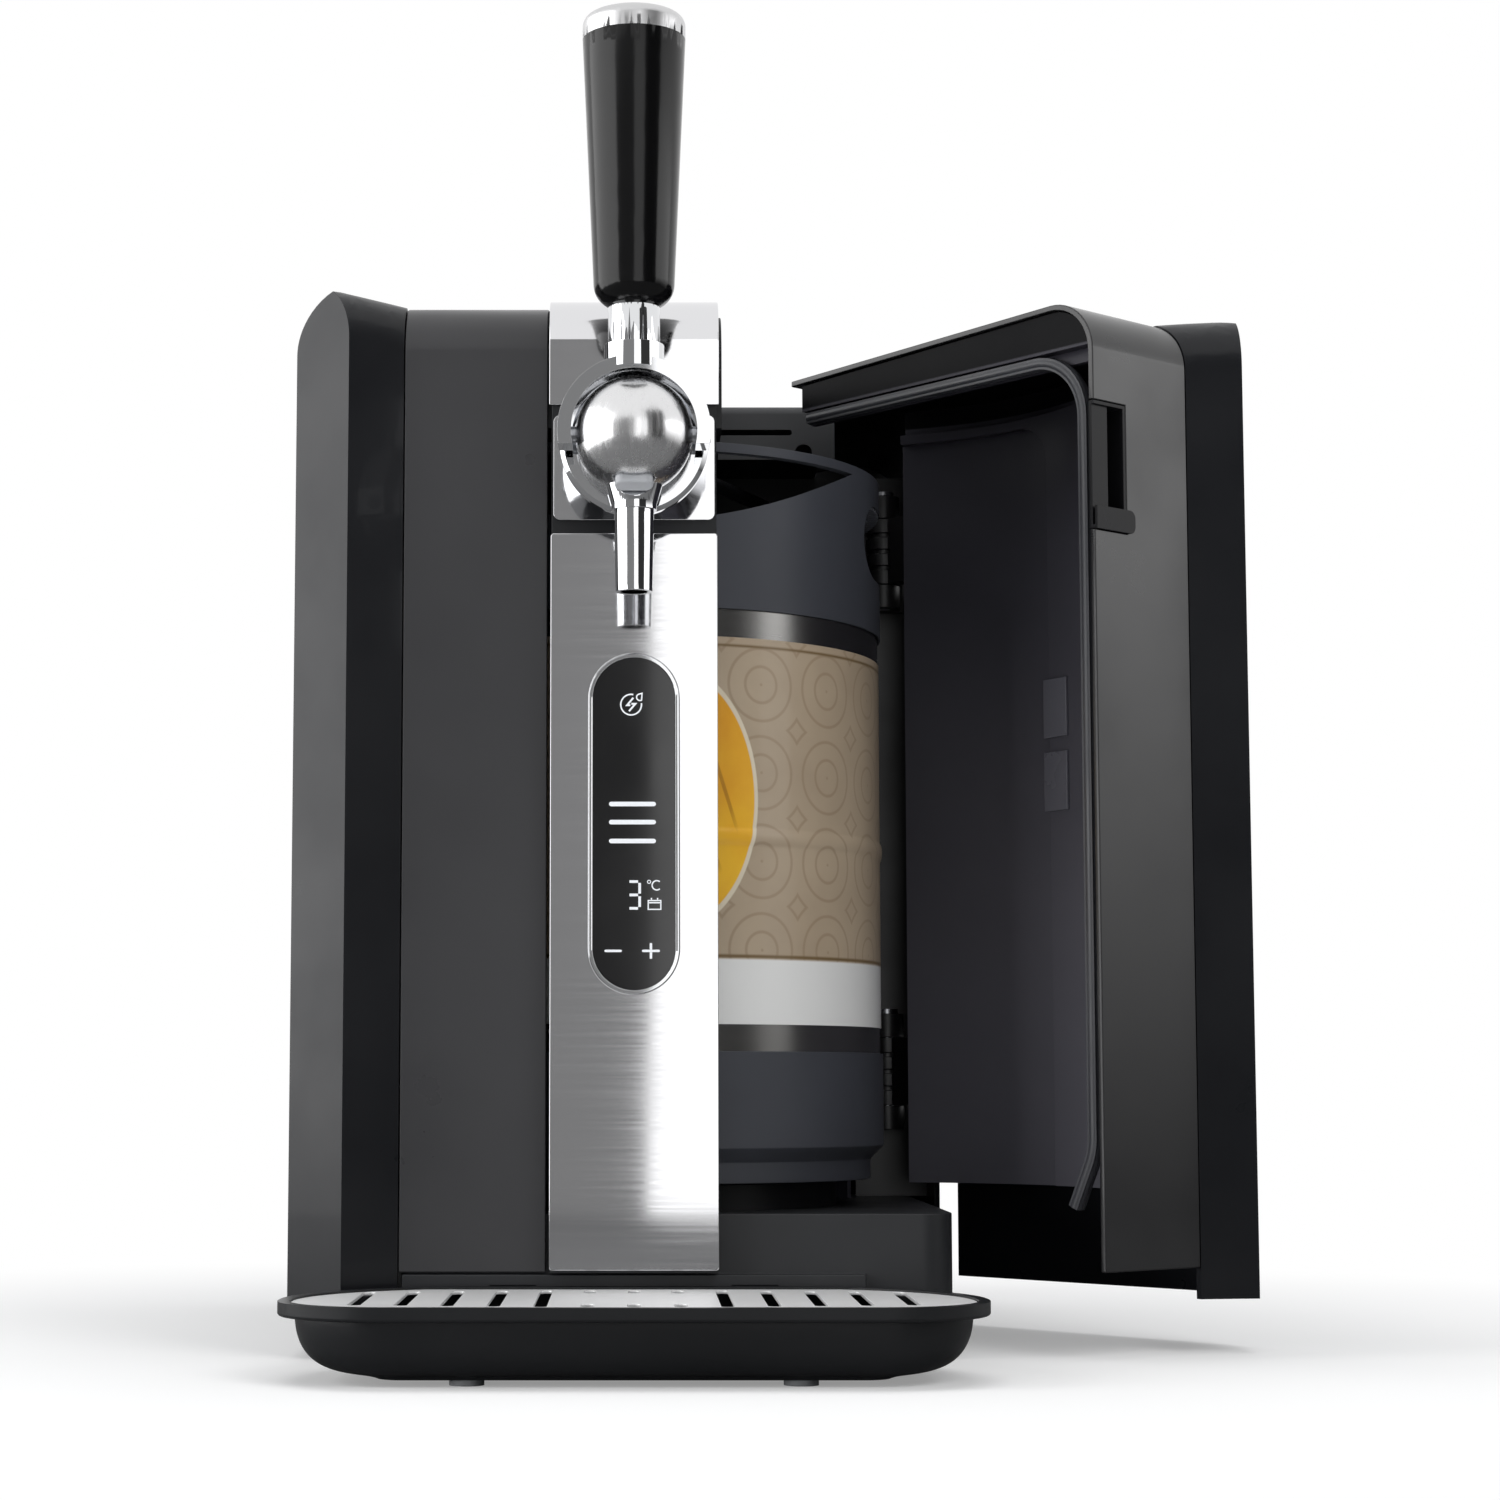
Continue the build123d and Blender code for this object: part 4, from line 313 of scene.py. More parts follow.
# foam, board, hose and rubber
FOAM = moulded_plastic(
    "dark insulating foam", srgb(62, 62, 66), srgb(50, 50, 54), rough=0.9, grain=300.0, bump=0.8)
BOARD = moulded_plastic(
    "circuit board green", srgb(36, 92, 58), srgb(28, 78, 48), rough=0.4, grain=260.0, bump=0.5)
HOSE_BLACK = moulded_plastic(
    "black hose", srgb(20, 20, 22), srgb(15, 15, 17), rough=0.3, bump=0.05)
RUBBER = elastomer("seal rubber", srgb(52, 53, 57), rough=0.38)
FOOT_RUBBER = elastomer("foot rubber", srgb(120, 122, 124), rough=0.55)

# metals
PLATE = polished_metal(
    "polished plate", srgb(226, 226, 228), rough=0.035, along=(0.02, 1.0, 1.0), brush=0.04, smudge=0.015)
CHROME = polished_metal("chrome", srgb(225, 226, 228), rough=0.035, smudge=0.02)
CAP_STEEL = polished_metal("satin cap steel", srgb(210, 210, 211), rough=0.3, brush=0.06)
BRUSHED = polished_metal(
    "brushed ball steel", srgb(228, 228, 229), rough=0.17, along=(1.0, 1.0, 0.04), brush=0.12)
GRILLE_STEEL = polished_metal(
    "grille steel", srgb(242, 242, 242), rough=0.36, along=(0.03, 1.0, 1.0), brush=0.1, metallic=0.3)
KEG_STEEL = polished_metal(
    "keg steel", srgb(150, 149, 147), rough=0.24, along=(0.05, 0.05, 1.0), brush=0.02)
ALUMINIUM = polished_metal(
    "milled aluminium", srgb(200, 202, 206), rough=0.35, along=(1.0, 1.0, 0.05), brush=0.15)
SMALL_STEEL = polished_metal("screw steel", srgb(170, 172, 176), rough=0.28)


# ---------------------------------------------------------------- building helpers
BODY_OF = {node: body for body, nodes in frame["record"]["behaviour"]["bodies"].items() for node in nodes}
SLOT_OF = {row["node"]: row["material_slot"] for row in frame["record"]["subparts"]}


def paint(thing, finish):
    """Gives an object one material."""
    thing.data.materials.clear()
    thing.data.materials.append(finish)


def smoothed(mesh, sharp_from):
    """Smooth shading apart from edges that turn by more than sharp_from degrees."""
    mesh.shade_smooth()
    mesh.set_sharp_from_angle(angle=math.radians(sharp_from))
    return mesh


def closed_mesh(name, work):
    """Turns a bmesh into a smooth mesh whose faces point outwards."""
    bmesh.ops.recalc_face_normals(work, faces=work.faces)
    mesh = bpy.data.meshes.new(name)
    work.to_mesh(mesh)
    work.free()
    return smoothed(mesh, sharp_from=35.0)


def new_piece(name, mesh, finish, body, slot_name, *stands_for):
    """Adds a finished piece to the scene, riding on its body."""
    thing = bpy.data.objects.new(name, mesh)
    bpy.context.scene.collection.objects.link(thing)
    paint(thing, finish)
    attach(thing, body)
    if stands_for:
        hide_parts(*stands_for)
    return thing


def plain_copy(thing, name):
    """The mesh of an object with its modifiers applied; the object itself is removed."""
    graph = bpy.context.evaluated_depsgraph_get()
    mesh = bpy.data.meshes.new_from_object(thing.evaluated_get(graph), depsgraph=graph)
    mesh.name = name
    bpy.data.objects.remove(thing)
    return mesh


def arc(centre, radius, start, end, steps):
    """Points of an arc in the plane, its angles in degrees."""
    turns = [math.radians(start + (end - start) * step / steps) for step in range(steps + 1)]
    return [(centre[0] + radius * math.cos(turn), centre[1] + radius * math.sin(turn)) for turn in turns]


def rounded(points, sizes, steps=5):
    """An open outline with its inner corners rounded; sizes gives how far each corner is cut back."""
    largest_share = 0.49
    made = [points[0]]
    for before, here, after, size in zip(points, points[1:], points[2:], sizes):
        here = Vector(here)
        back, on = Vector(before) - here, Vector(after) - here
        reach = min(size, back.length * largest_share, on.length * largest_share)
        start = here + back.normalized() * reach
        end = here + on.normalized() * reach
        for step in range(steps + 1):
            part = step / steps
            made.append(tuple(start * (1 - part) ** 2 + here * (2 * part * (1 - part)) + end * part ** 2))
    made.append(points[-1])
    return made


def turned(name, outline, axis, steps):
    """A closed solid turned about an axis through the origin, from (distance along, radius) in mm."""
    work = bmesh.new()
    along = Vector(axis).normalized()
    side = along.orthogonal().normalized()
    other = along.cross(side)
    loops = []
    for reach, radius in outline:
        base = along * (reach * MM)
        if radius <= 0.0:
            loops.append([work.verts.new(base)])
            continue
        turns = [2 * math.pi * number / steps for number in range(steps)]
        loops.append([
            work.verts.new(base + (side * math.cos(turn) + other * math.sin(turn)) * (radius * MM))
            for turn in turns
        ])
    for first, second in zip(loops, loops[1:]):
        for number in range(steps):
            following = (number + 1) % steps
            corners = [first[number % len(first)], first[following % len(first)],
                       second[following % len(second)], second[number % len(second)]]
            corners = list(dict.fromkeys(corners))
            if len(corners) > 2:
                work.faces.new(corners)
    return closed_mesh(name, work)


# ---------------------------------------------------------------- pieces from the CAD nodes
SAME_PLACE, NO_LENGTH = 2e-6, 1e-6      # metres under which corners are one and an edge is none
FLAT_WITHIN = math.radians(0.6)         # faces that turn by less are joined before edges are rounded
EDGES_FROM = math.radians(28.0)         # a CAD edge that turns by more is rounded
EDGE_STEPS = 2                          # strips of faces across a rounded edge
SHARP_FROM = 50.0                       # degrees over which a dressed piece keeps an edge sharp


def dressed(node, finish, edge):
    """A copy of a CAD node with its sharp edges rounded by edge millimetres."""
    work = bmesh.new()
    work.from_mesh(frame["nodes"][node].data)
    bmesh.ops.remove_doubles(work, verts=work.verts, dist=SAME_PLACE)
    if edge:
        bmesh.ops.dissolve_degenerate(work, edges=work.edges, dist=NO_LENGTH)
        bmesh.ops.dissolve_limit(work, angle_limit=FLAT_WITHIN, verts=work.verts, edges=work.edges)
        sharp = [e for e in work.edges if len(e.link_faces) == 2 and e.calc_face_angle(0.0) > EDGES_FROM]
        bmesh.ops.bevel(
            work, geom=sharp, offset=edge * MM, offset_type="OFFSET", segments=EDGE_STEPS, profile=0.5,
            affect="EDGES", clamp_overlap=True, harden_normals=False,
        )
    mesh = bpy.data.meshes.new(node + "_dressed")
    work.to_mesh(mesh)
    work.free()
    smoothed(mesh, SHARP_FROM)
    thing = new_piece(node + "_finished", mesh, finish, BODY_OF[node], SLOT_OF[node], node)
    thing.modifiers.new("weighted", "WEIGHTED_NORMAL").keep_sharp = True


for node, finish, edge in (
    # casing and door
    ("left_side_shell", SHELL, 0.7), ("right_rear_shell", SHELL, 0.7), ("door_side_shell", SHELL, 0.7),
    ("front_top_cover", PANEL, 0.5), ("door_front_top_panel", DOOR_PANEL, 0.5),
    ("rear_cover", BACK_PLASTIC, 0.3), ("chassis_base", BASE_BLACK, 0.8), ("column_body", INNER_BLACK, 0.8),
    ("door_liner", SHADED_DOOR_LINER, 0.6), ("bay_liner", LINER, 0.3), ("bay_ceiling", INNER_BLACK, 0.3),
    ("door_pull", TRIM_BLACK, 0.25), ("door_catches", CATCH, 0.3),
    ("hinge_leaves", HINGE, 0.3), ("hinge_brackets", HINGE, 0.3),
    # column and display
    ("column_plate", PLATE, 0.35), ("tap_plate", PLATE, 0.35), ("column_cap", PLATE, 0.35),
    ("display_bezel", CHROME, 0.15), ("display_window", GLASS, 0.2),
    # keg
    ("keg_lower_collar", COLLAR, 0.5), ("keg_upper_collar", COLLAR, 0.6), ("keg_drum", KEG_STEEL, 0.0),
    ("keg_coupler", INNER_BLACK, 0.4),
    # tray and tap
    ("drip_tray", TRAY_BLACK, 0.4), ("drip_grille", GRILLE_STEEL, 0.2),
    ("release_tab", TAB, 0.2), ("tap_housing", CHROME, 0.2), ("lever_visor", CHROME, 0.5),
    ("tap_spout", CHROME, 0.2), ("tap_ball", BRUSHED, 0.0), ("lever_stem", CHROME, 0.0),
    ("lever_grip", GRIP_BLACK, 0.0), ("lever_cap", CAP_STEEL, 0.0),
    # the hose over the keg and the sleeve round it
    ("air_hose", HOSE_BLACK, 0.0), ("keg_label", PRINT, 0.0),
):
    dressed(node, finish, edge)

# small and hidden pieces, which keep the CAD's own mesh
for node, finish in (
    ("rubber_feet", FOOT_RUBBER), ("keg_seat", INNER_BLACK),
    ("bay_insulation", FOAM), ("cooling_jacket", ALUMINIUM), ("thermoelectric_element", FOAM),
    ("heat_sink", ALUMINIUM), ("fan_frame", INNER_BLACK), ("fan_rotor", INNER_BLACK),
    ("power_supply", ALUMINIUM), ("main_board", BOARD), ("air_pump", BACK_PLASTIC),
    ("keg_valve", INNER_BLACK), ("beer_line", HOSE_BLACK), ("display_board", BOARD),
    ("tap_axle", SMALL_STEEL), ("tray_feet", FOOT_RUBBER), ("power_inlet", TRIM_BLACK),
    ("base_screws", SMALL_STEEL), ("hinge_pillar", HINGE), ("hinge_pins", SMALL_STEEL),
    ("door_insulation", FOAM),
):
    paint(frame["nodes"][node], finish)


# ---------------------------------------------------------------- geometry trees
class Tree(Network):
    """A geometry tree with named inputs, grown on a base mesh into a plain mesh."""

    def __init__(self, name, **sizes):
        self.group = bpy.data.node_groups.new(name, "GeometryNodeTree")
        super().__init__(self.group)
        face = self.group.interface
        face.new_socket("Geometry", in_out="INPUT", socket_type="NodeSocketGeometry")
        for label, value in sizes.items():
            face.new_socket(label, in_out="INPUT", socket_type="NodeSocketFloat").default_value = value
        face.new_socket("Material", in_out="INPUT", socket_type="NodeSocketMaterial")
        face.new_socket("Geometry", in_out="OUTPUT", socket_type="NodeSocketGeometry")
        self.given = self.add("NodeGroupInput").outputs

    def path(self):
        """The base mesh's edges as a curve."""
        return self.add("GeometryNodeMeshToCurve", {"Mesh": self.given["Geometry"]}).outputs["Curve"]

    def end(self, made):
        """Realises what was made, gives it its material and closes the tree."""
        real = self.add("GeometryNodeRealizeInstances", {"Geometry": made})
        coloured = self.add("GeometryNodeSetMaterial", {
            "Geometry": real.outputs["Geometry"], "Material": self.given["Material"],
        })
        self.add("NodeGroupOutput", {"Geometry": coloured.outputs["Geometry"]})
        return self

    def grow(self, name, base, finish, **sizes):
        """Runs the tree on the base mesh with these sizes and returns a plain mesh."""
        holder = bpy.data.objects.new(name, base)
        bpy.context.scene.collection.objects.link(holder)
        modifier = holder.modifiers.new(name, "NODES")
        modifier.node_group = self.group
        values = dict(sizes, Material=finish)
        for item in self.group.interface.items_tree:
            if item.item_type == "SOCKET" and item.in_out == "INPUT" and item.name in values:
                modifier[item.identifier] = values[item.name]
        return plain_copy(holder, name)


def bead_tree():
    """A round bead with a fin through its middle, both drawn along the base mesh's edges."""
    tree = Tree("bead along a path", Bead=0.0026, FinWidth=0.006, FinThickness=0.0012)
    path = tree.path()
    ring = tree.add("GeometryNodeCurvePrimitiveCircle", {"Resolution": 20, "Radius": tree.given["Bead"]})
    strip = tree.add("GeometryNodeCurvePrimitiveQuadrilateral", {
        "Width": tree.given["FinWidth"], "Height": tree.given["FinThickness"],
    })
    joined = tree.add("GeometryNodeJoinGeometry")
    for profile in (ring, strip):
        body = tree.add("GeometryNodeCurveToMesh", {
            "Curve": path, "Profile Curve": profile.outputs["Curve"], "Fill Caps": True,
        })
        tree.links.new(body.outputs["Mesh"], joined.inputs["Geometry"])
    return tree.end(joined.outputs["Geometry"])


def rib_tree():
    """Short round ribs set across a path at an even spacing."""
    tree = Tree("ribs along a path", Spacing=0.004, RibRadius=0.001, RibLength=0.004)
    spots = tree.add("GeometryNodeCurveToPoints", {
        "Curve": tree.path(), "Length": tree.given["Spacing"],
    }, mode="LENGTH")
    rib = tree.add("GeometryNodeMeshCylinder", {
        "Vertices": 12, "Radius": tree.given["RibRadius"], "Depth": tree.given["RibLength"],
    })
    lying = tree.add("GeometryNodeTransform", {
        "Geometry": rib.outputs["Mesh"], "Rotation": (0.0, math.pi / 2, 0.0),
    })
    placed = tree.add("GeometryNodeInstanceOnPoints", {
        "Points": spots.outputs["Points"], "Instance": lying.outputs["Geometry"],
    })
    return tree.end(placed.outputs["Instances"])


def row_tree():
    """The base mesh repeated on an upright grid that faces the back."""
    tree = Tree("rows on the back", Width=0.1, Height=0.1, Columns=2.0, Rows=3.0, Level=0.2, Depth=0.2)
    given = tree.given
    grid = tree.add("GeometryNodeMeshGrid", {
        "Size X": given["Width"], "Size Y": given["Height"],
        "Vertices X": given["Columns"], "Vertices Y": given["Rows"],
    })
    spot = tree.add("ShaderNodeCombineXYZ", {"Y": given["Depth"], "Z": given["Level"]})
    upright = tree.add("GeometryNodeTransform", {
        "Geometry": grid.outputs["Mesh"], "Rotation": (math.pi / 2, 0.0, 0.0), "Translation": spot.outputs[0],
    })
    placed = tree.add("GeometryNodeInstanceOnPoints", {
        "Points": upright.outputs["Geometry"], "Instance": given["Geometry"],
    })
    return tree.end(placed.outputs["Instances"])


def path_mesh(name, points):
    """An open run of edges through points given in millimetres."""
    mesh = bpy.data.meshes.new(name)
    corners = [tuple(value * MM for value in point) for point in points]
    mesh.from_pydata(corners, [(number, number + 1) for number in range(len(points) - 1)], [])
    return mesh


# ---------------------------------------------------------------- the door's seal
DOOR_HINGE = next(joint for joint in frame["joints"] if joint["name"] == "door_hinge")
HINGE_LINE = Vector((*DOOR_HINGE["pos_m"][:2], 0.0))
DOOR_OPEN = math.radians(-DOOR_HINGE["range_deg"][0])


def open_door(mesh):
    """Turns a mesh drawn in the closed door to the open door."""
    there = Matrix.Translation(HINGE_LINE)
    mesh.transform(there @ Matrix.Rotation(DOOR_OPEN, 4, "Z") @ there.inverted())


def bent(points, radius, steps):
    """A path in space whose corners are true arcs of one radius."""
    made = [Vector(points[0])]
    for before, here, after in zip(points, points[1:], points[2:]):
        here = Vector(here)
        back, on = (Vector(before) - here).normalized(), (Vector(after) - here).normalized()
        half = back.angle(on) / 2
        centre = here + (back + on).normalized() * (radius / math.sin(half))
        first = here + back * (radius / math.tan(half)) - centre
        last = here + on * (radius / math.tan(half)) - centre
        axis = first.cross(last).normalized()
        sweep = first.angle(last)
        for step in range(steps + 1):
            made.append(centre + Matrix.Rotation(sweep * step / steps, 3, axis) @ first)
    made.append(Vector(points[-1]))
    return [tuple(point) for point in made]


def door_gasket():
    """Round seal of the door: along the top, down the front edge and back at the foot."""
    across, top, front, foot = 36.5, 381.0, -98.0, 77.0
    rear, tail_back, tail_drop = 54.0, 10.0, 21.0
    bend, bend_steps = 24.0, 12
    corners = [(rear, top), (front, top), (front, foot), (front + tail_back, foot - tail_drop)]
    route = bent([(across, y, z) for y, z in corners], bend, bend_steps)
    mesh = bead_tree().grow("door_gasket_bead", path_mesh("gasket path", route), RUBBER,
                            Bead=0.0026, FinWidth=0.0044, FinThickness=0.0044)
    open_door(mesh)
    smoothed(mesh, sharp_from=50.0)
    new_piece("door_gasket_bead", mesh, RUBBER, "door", SLOT_OF["door_gasket"], "door_gasket")


# ---------------------------------------------------------------- the keg's hand holes
def hand_hole_ribs():
    """Grip ribs along the upper edge and round ends of both hand holes."""
    collar_radius, ribs_inset = 101.0, 2.0
    level, half_height, half_straight, straight_step = 320.6, 14.6, 27, 6
    tree = rib_tree()
    flat = [(y, level + half_height) for y in range(-half_straight, half_straight + 1, straight_step)]
    turns = [math.radians(turn) for turn in range(15, 106, 15)]
    ends = [(half_straight + half_height * math.sin(turn), level + half_height * math.cos(turn))
            for turn in turns]
    upper = [(-y, z) for y, z in reversed(ends)] + flat + ends
    for side, name in ((1, "right"), (-1, "left")):
        route = [(side * (math.sqrt(collar_radius**2 - y * y) - ribs_inset), y, z) for y, z in upper]
        mesh = tree.grow("hand_hole_ribs_" + name, path_mesh("hand hole edge", route), COLLAR,
                         Spacing=0.0042, RibRadius=0.0011, RibLength=0.0036)
        smoothed(mesh, sharp_from=40.0)
        new_piece("hand_hole_ribs_" + name, mesh, COLLAR, "casing", SLOT_OF["keg_upper_collar"])


# ---------------------------------------------------------------- screws, slats and filter at the back
def cross_head():
    """A pan head with a cross recess, its top on the plane y = 0 and looking to the back."""
    radius, crown_radius = 3.3, 1.6
    sunk, rim, crown_shade_mask = -1.25, -0.35, -0.05
    recess_length, recess_width, recess_depth = 4.2, 0.9, 1.4
    outline = rounded([(sunk, 0.0), (sunk, radius), (rim, radius), (crown_shade_mask, crown_radius), (crown_shade_mask, 0.0)],
                      (0.2, 0.8, 1.2))
    head = bpy.data.objects.new("head", turned("head", outline, axis=(0, 1, 0), steps=32))
    work = bmesh.new()
    for wide, tall in ((recess_length, recess_width), (recess_width, recess_length)):
        for corner in bmesh.ops.create_cube(work, size=1.0)["verts"]:
            corner.co = Vector((corner.co.x * wide, corner.co.y * recess_depth, corner.co.z * tall)) * MM
    cutter = bpy.data.objects.new("cutter", closed_mesh("cutter", work))
    for thing in (head, cutter):
        bpy.context.scene.collection.objects.link(thing)
    cut = head.modifiers.new("recess", "BOOLEAN")
    cut.operation = "DIFFERENCE"
    cut.solver = "EXACT"
    cut.use_self = True
    cut.object = cutter
    mesh = plain_copy(head, "cross head")
    bpy.data.objects.remove(cutter)
    return mesh


def vent_slat():
    """A thin slat with rounded long edges, leaning behind one vent slot."""
    half_length, half_depth, half_thickness, edge = 29.2, 2.6, 0.4, 0.35
    lean = math.radians(38.0)
    corners = [(-half_depth, -half_thickness), (half_depth, -half_thickness),
               (half_depth, half_thickness), (-half_depth, half_thickness)]
    outline = rounded(corners + corners[:1], (edge,) * 3, 3)[:-1]
    leaning = [(y * math.cos(lean) - z * math.sin(lean), y * math.sin(lean) + z * math.cos(lean))
               for y, z in outline]
    work = bmesh.new()
    left, right = ([work.verts.new(Vector((x, y, z)) * MM) for y, z in leaning]
                   for x in (-half_length, half_length))
    for number in range(len(outline)):
        following = (number + 1) % len(outline)
        work.faces.new((left[number], left[following], right[following], right[number]))
    work.faces.new(left)
    work.faces.new(reversed(right))
    return closed_mesh("slat", work)


def rear_rows():
    """The screws' heads on the rear cover and the slats behind its vents."""
    cover_face, slats_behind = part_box("rear_cover")[1].y, 0.0055
    tree = row_tree()
    screws = tree.grow("rear_screw_heads", cross_head(), SMALL_STEEL,
                       Width=0.148, Height=0.302, Columns=2.0, Rows=3.0, Level=0.226, Depth=cover_face)
    smoothed(screws, sharp_from=30.0)
    new_piece("rear_screw_heads", screws, SMALL_STEEL, "casing",
              SLOT_OF["rear_cover_screws"], "rear_cover_screws")
    slats = tree.grow("vent_slats", vent_slat(), INNER_BLACK, Width=0.072, Height=0.104,
                      Columns=2.0, Rows=14.0, Level=0.210, Depth=cover_face - slats_behind)
    smoothed(slats, sharp_from=40.0)
    new_piece("vent_slats", slats, INNER_BLACK, "casing", SLOT_OF["rear_cover"])


def vent_filter():
    """Thin dark filter sheet with rounded corners, standing inside the back behind the top vents."""
    half_width, bottom, top, corner, front, thickness = 96.0, 366.0, 396.0, 5.0, 214.5, 1.6
    right, left = half_width - corner, corner - half_width
    low, high = bottom + corner, top - corner
    outline = []
    for quarter, centre in enumerate(((right, high), (left, high), (left, low), (right, low))):
        outline += arc(centre, corner, 90 * quarter, 90 * quarter + 90, steps=6)
    work = bmesh.new()
    face = work.faces.new([work.verts.new((x * MM, front * MM, z * MM)) for x, z in outline])
    made = bmesh.ops.extrude_face_region(work, geom=[face])
    moved = [item for item in made["geom"] if isinstance(item, bmesh.types.BMVert)]
    bmesh.ops.translate(work, verts=moved, vec=(0.0, thickness * MM, 0.0))
    mesh = closed_mesh("vent_filter", work)
    new_piece("vent_filter", mesh, INNER_BLACK, "casing", SLOT_OF["rear_cover"])


# ---------------------------------------------------------------- printed display symbols
WINDOW_FACE = round(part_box("display_window")[0].y / MM, 2)
PRINT_HALF = 0.06       # the printed layer reaches this far to both sides of the window's face
MITRE_LIMIT = 0.4       # the cosine at which the mitre of a sharp corner stops growing
CAP_STEPS = 8


def band_edges(line, half, closed):
    """The left and right edges of a band along a line, mitred at its corners."""
    left, right = [], []
    last = len(line) - 1
    for number, here in enumerate(line):
        runs = []
        if number or closed:
            runs.append((here - line[number - 1]).normalized())
        if number < last or closed:
            runs.append((line[(number + 1) % len(line)] - here).normalized())
        sides = [Vector((-run.y, run.x)) for run in runs]
        across = sum(sides, Vector((0.0, 0.0))).normalized()
        across /= max(across.dot(sides[0]), MITRE_LIMIT)
        left.append(here + across * half)
        right.append(here - across * half)
    return left, right


def round_cap(end, before, half):
    """The half circle that closes a band at its end, where the band comes from before."""
    run = (end - before).normalized() * half
    side = Vector((-run.y, run.x))
    turns = [math.pi * step / CAP_STEPS for step in range(1, CAP_STEPS)]
    return [end + side * math.cos(turn) + run * math.sin(turn) for turn in turns]


def printed_layer(work, faces, rims):
    """A thin closed solid on the window from faces in X and Z and the rims around them."""
    front, back = WINDOW_FACE - PRINT_HALF, WINDOW_FACE + PRINT_HALF
    known = {}

    def corner(point, level):
        key = (round(point.x, 5), round(point.y, 5), level)
        if key not in known:
            known[key] = work.verts.new(Vector((point.x, level, point.y)) * MM)
        return known[key]

    for face in faces:
        work.faces.new([corner(point, front) for point in face])
        work.faces.new([corner(point, back) for point in reversed(face)])
    for rim in rims:
        for point, following in zip(rim, rim[1:] + rim[:1]):
            work.faces.new([corner(point, front), corner(point, back),
                            corner(following, back), corner(following, front)])


def stroke(work, points, width, closed=False, round_ends=False):
    """A printed line of one width through points in X and Z."""
    line = [Vector(point) for point in points]
    half = width / 2
    left, right = band_edges(line, half, closed)
    if closed:
        pairs = zip(range(len(line)), [*range(1, len(line)), 0])
        faces = [(left[this], left[following], right[following], right[this]) for this, following in pairs]
        printed_layer(work, faces, [left, right[::-1]])
        return
    end_cap, start_cap = [], []
    if round_ends:
        end_cap, start_cap = round_cap(line[-1], line[-2], half), round_cap(line[0], line[1], half)
    outline = left + end_cap + right[::-1] + start_cap
    printed_layer(work, [outline], [outline])


def display_symbols():
    """Saving mark, level bars, temperature with its day sheet, and the minus and plus keys."""
    work = bmesh.new()
    # saving mark: an open ring with a leaf and a bolt
    stroke(work, arc((-1.1, 244.1), 3.9, 78, 368, 32), 0.55)
    stroke(work, arc((2.2, 246.9), 1.25, 120, 300, 10) + [(3.0, 248.4)], 0.5, closed=True)
    stroke(work, [(-0.3, 246.7), (-2.6, 243.9), (-1.4, 243.9)], 0.7)
    stroke(work, [(-1.0, 244.4), (0.5, 244.4), (-1.9, 241.6)], 0.7)
    # level bars
    for level in (206.6, 199.8, 192.7):
        stroke(work, [(-8.55, level), (7.35, level)], 1.7, round_ends=True)
    # seven-segment figure 3
    for level in (167.5, 172.5, 177.5):
        stroke(work, [(-1.7, level), (1.5, level)], 1.0)
    for low_end, high_end in ((168.0, 172.0), (173.0, 177.0)):
        stroke(work, [(2.1, low_end), (2.1, high_end)], 1.0)
    # degrees Celsius
    stroke(work, arc((5.6, 177.4), 0.6, 0, 345, 16), 0.32, closed=True)
    stroke(work, arc((8.5, 176.1), 1.75, 50, 310, 18), 0.5)
    # day sheet
    stroke(work, [(5.3, 167.1), (10.0, 167.1), (10.0, 170.4), (5.3, 170.4)], 0.45, closed=True)
    stroke(work, [(5.6, 169.6), (9.7, 169.6)], 0.5)
    for x in (6.5, 8.8):
        stroke(work, [(x, 170.7), (x, 171.4)], 0.5)
    # minus and plus
    for start, end in ((-10.6, -5.0), (3.4, 9.2)):
        stroke(work, [(start, 151.6), (end, 151.6)], 0.9, round_ends=True)
    for start, end in ((152.1, 154.5), (148.7, 151.1)):
        stroke(work, [(6.3, start), (6.3, end)], 0.9)
    mesh = closed_mesh("display_symbols", work)
    new_piece("display_symbols", mesh, SYMBOL, "casing", SLOT_OF["display_window"])


door_gasket()
hand_hole_ribs()
rear_rows()
vent_filter()
display_symbols()


# ---------------------------------------------------------------- camera, floor and light
WORLD_SOFT = 0.32       # strength of the world as a light
FLOOR_LIFT = 0.28       # glow of the floor near the machine, under which its shadow can't fall
FLOOR_SHADE = 0.72      # how strongly light and shadow show on it there
FLOOR_COLOUR, FLOOR_REFLECTED = 0.8, 0.2    # its grey for bounced light, and in reflections
FADE_START, FADE_END = 0.30, 0.62       # how far from the middle the floor turns plain white
FLOOR_REACH = 40.0


def make_camera():
    """The camera in front of the machine, low and looking up a little."""
    data = bpy.data.cameras.new("camera")
    data.lens = 74.4
    data.sensor_width = 36.0
    data.shift_x = 0.0773
    data.shift_y = 0.024
    camera = bpy.data.objects.new("camera", data)
    camera.location = (0.0, -1.270, 0.100)
    camera.rotation_euler = (math.radians(95.6), 0.0, 0.0)
    bpy.context.scene.collection.objects.link(camera)
    bpy.context.scene.camera = camera


def emptied(holder):
    """Switches a material or world to nodes, clears them and returns its network."""
    holder.use_nodes = True
    holder.node_tree.nodes.clear()
    return Network(holder.node_tree)


def seen_rays(network, *kinds):
    """1 for rays of the named kinds, such as those from the camera."""
    rays = network.add("ShaderNodeLightPath").outputs
    value = rays[kinds[0]]
    for kind in kinds[1:]:
        value = network.add("ShaderNodeMath", {0: value, 1: rays[kind]}, operation="MAXIMUM").outputs[0]
    return value


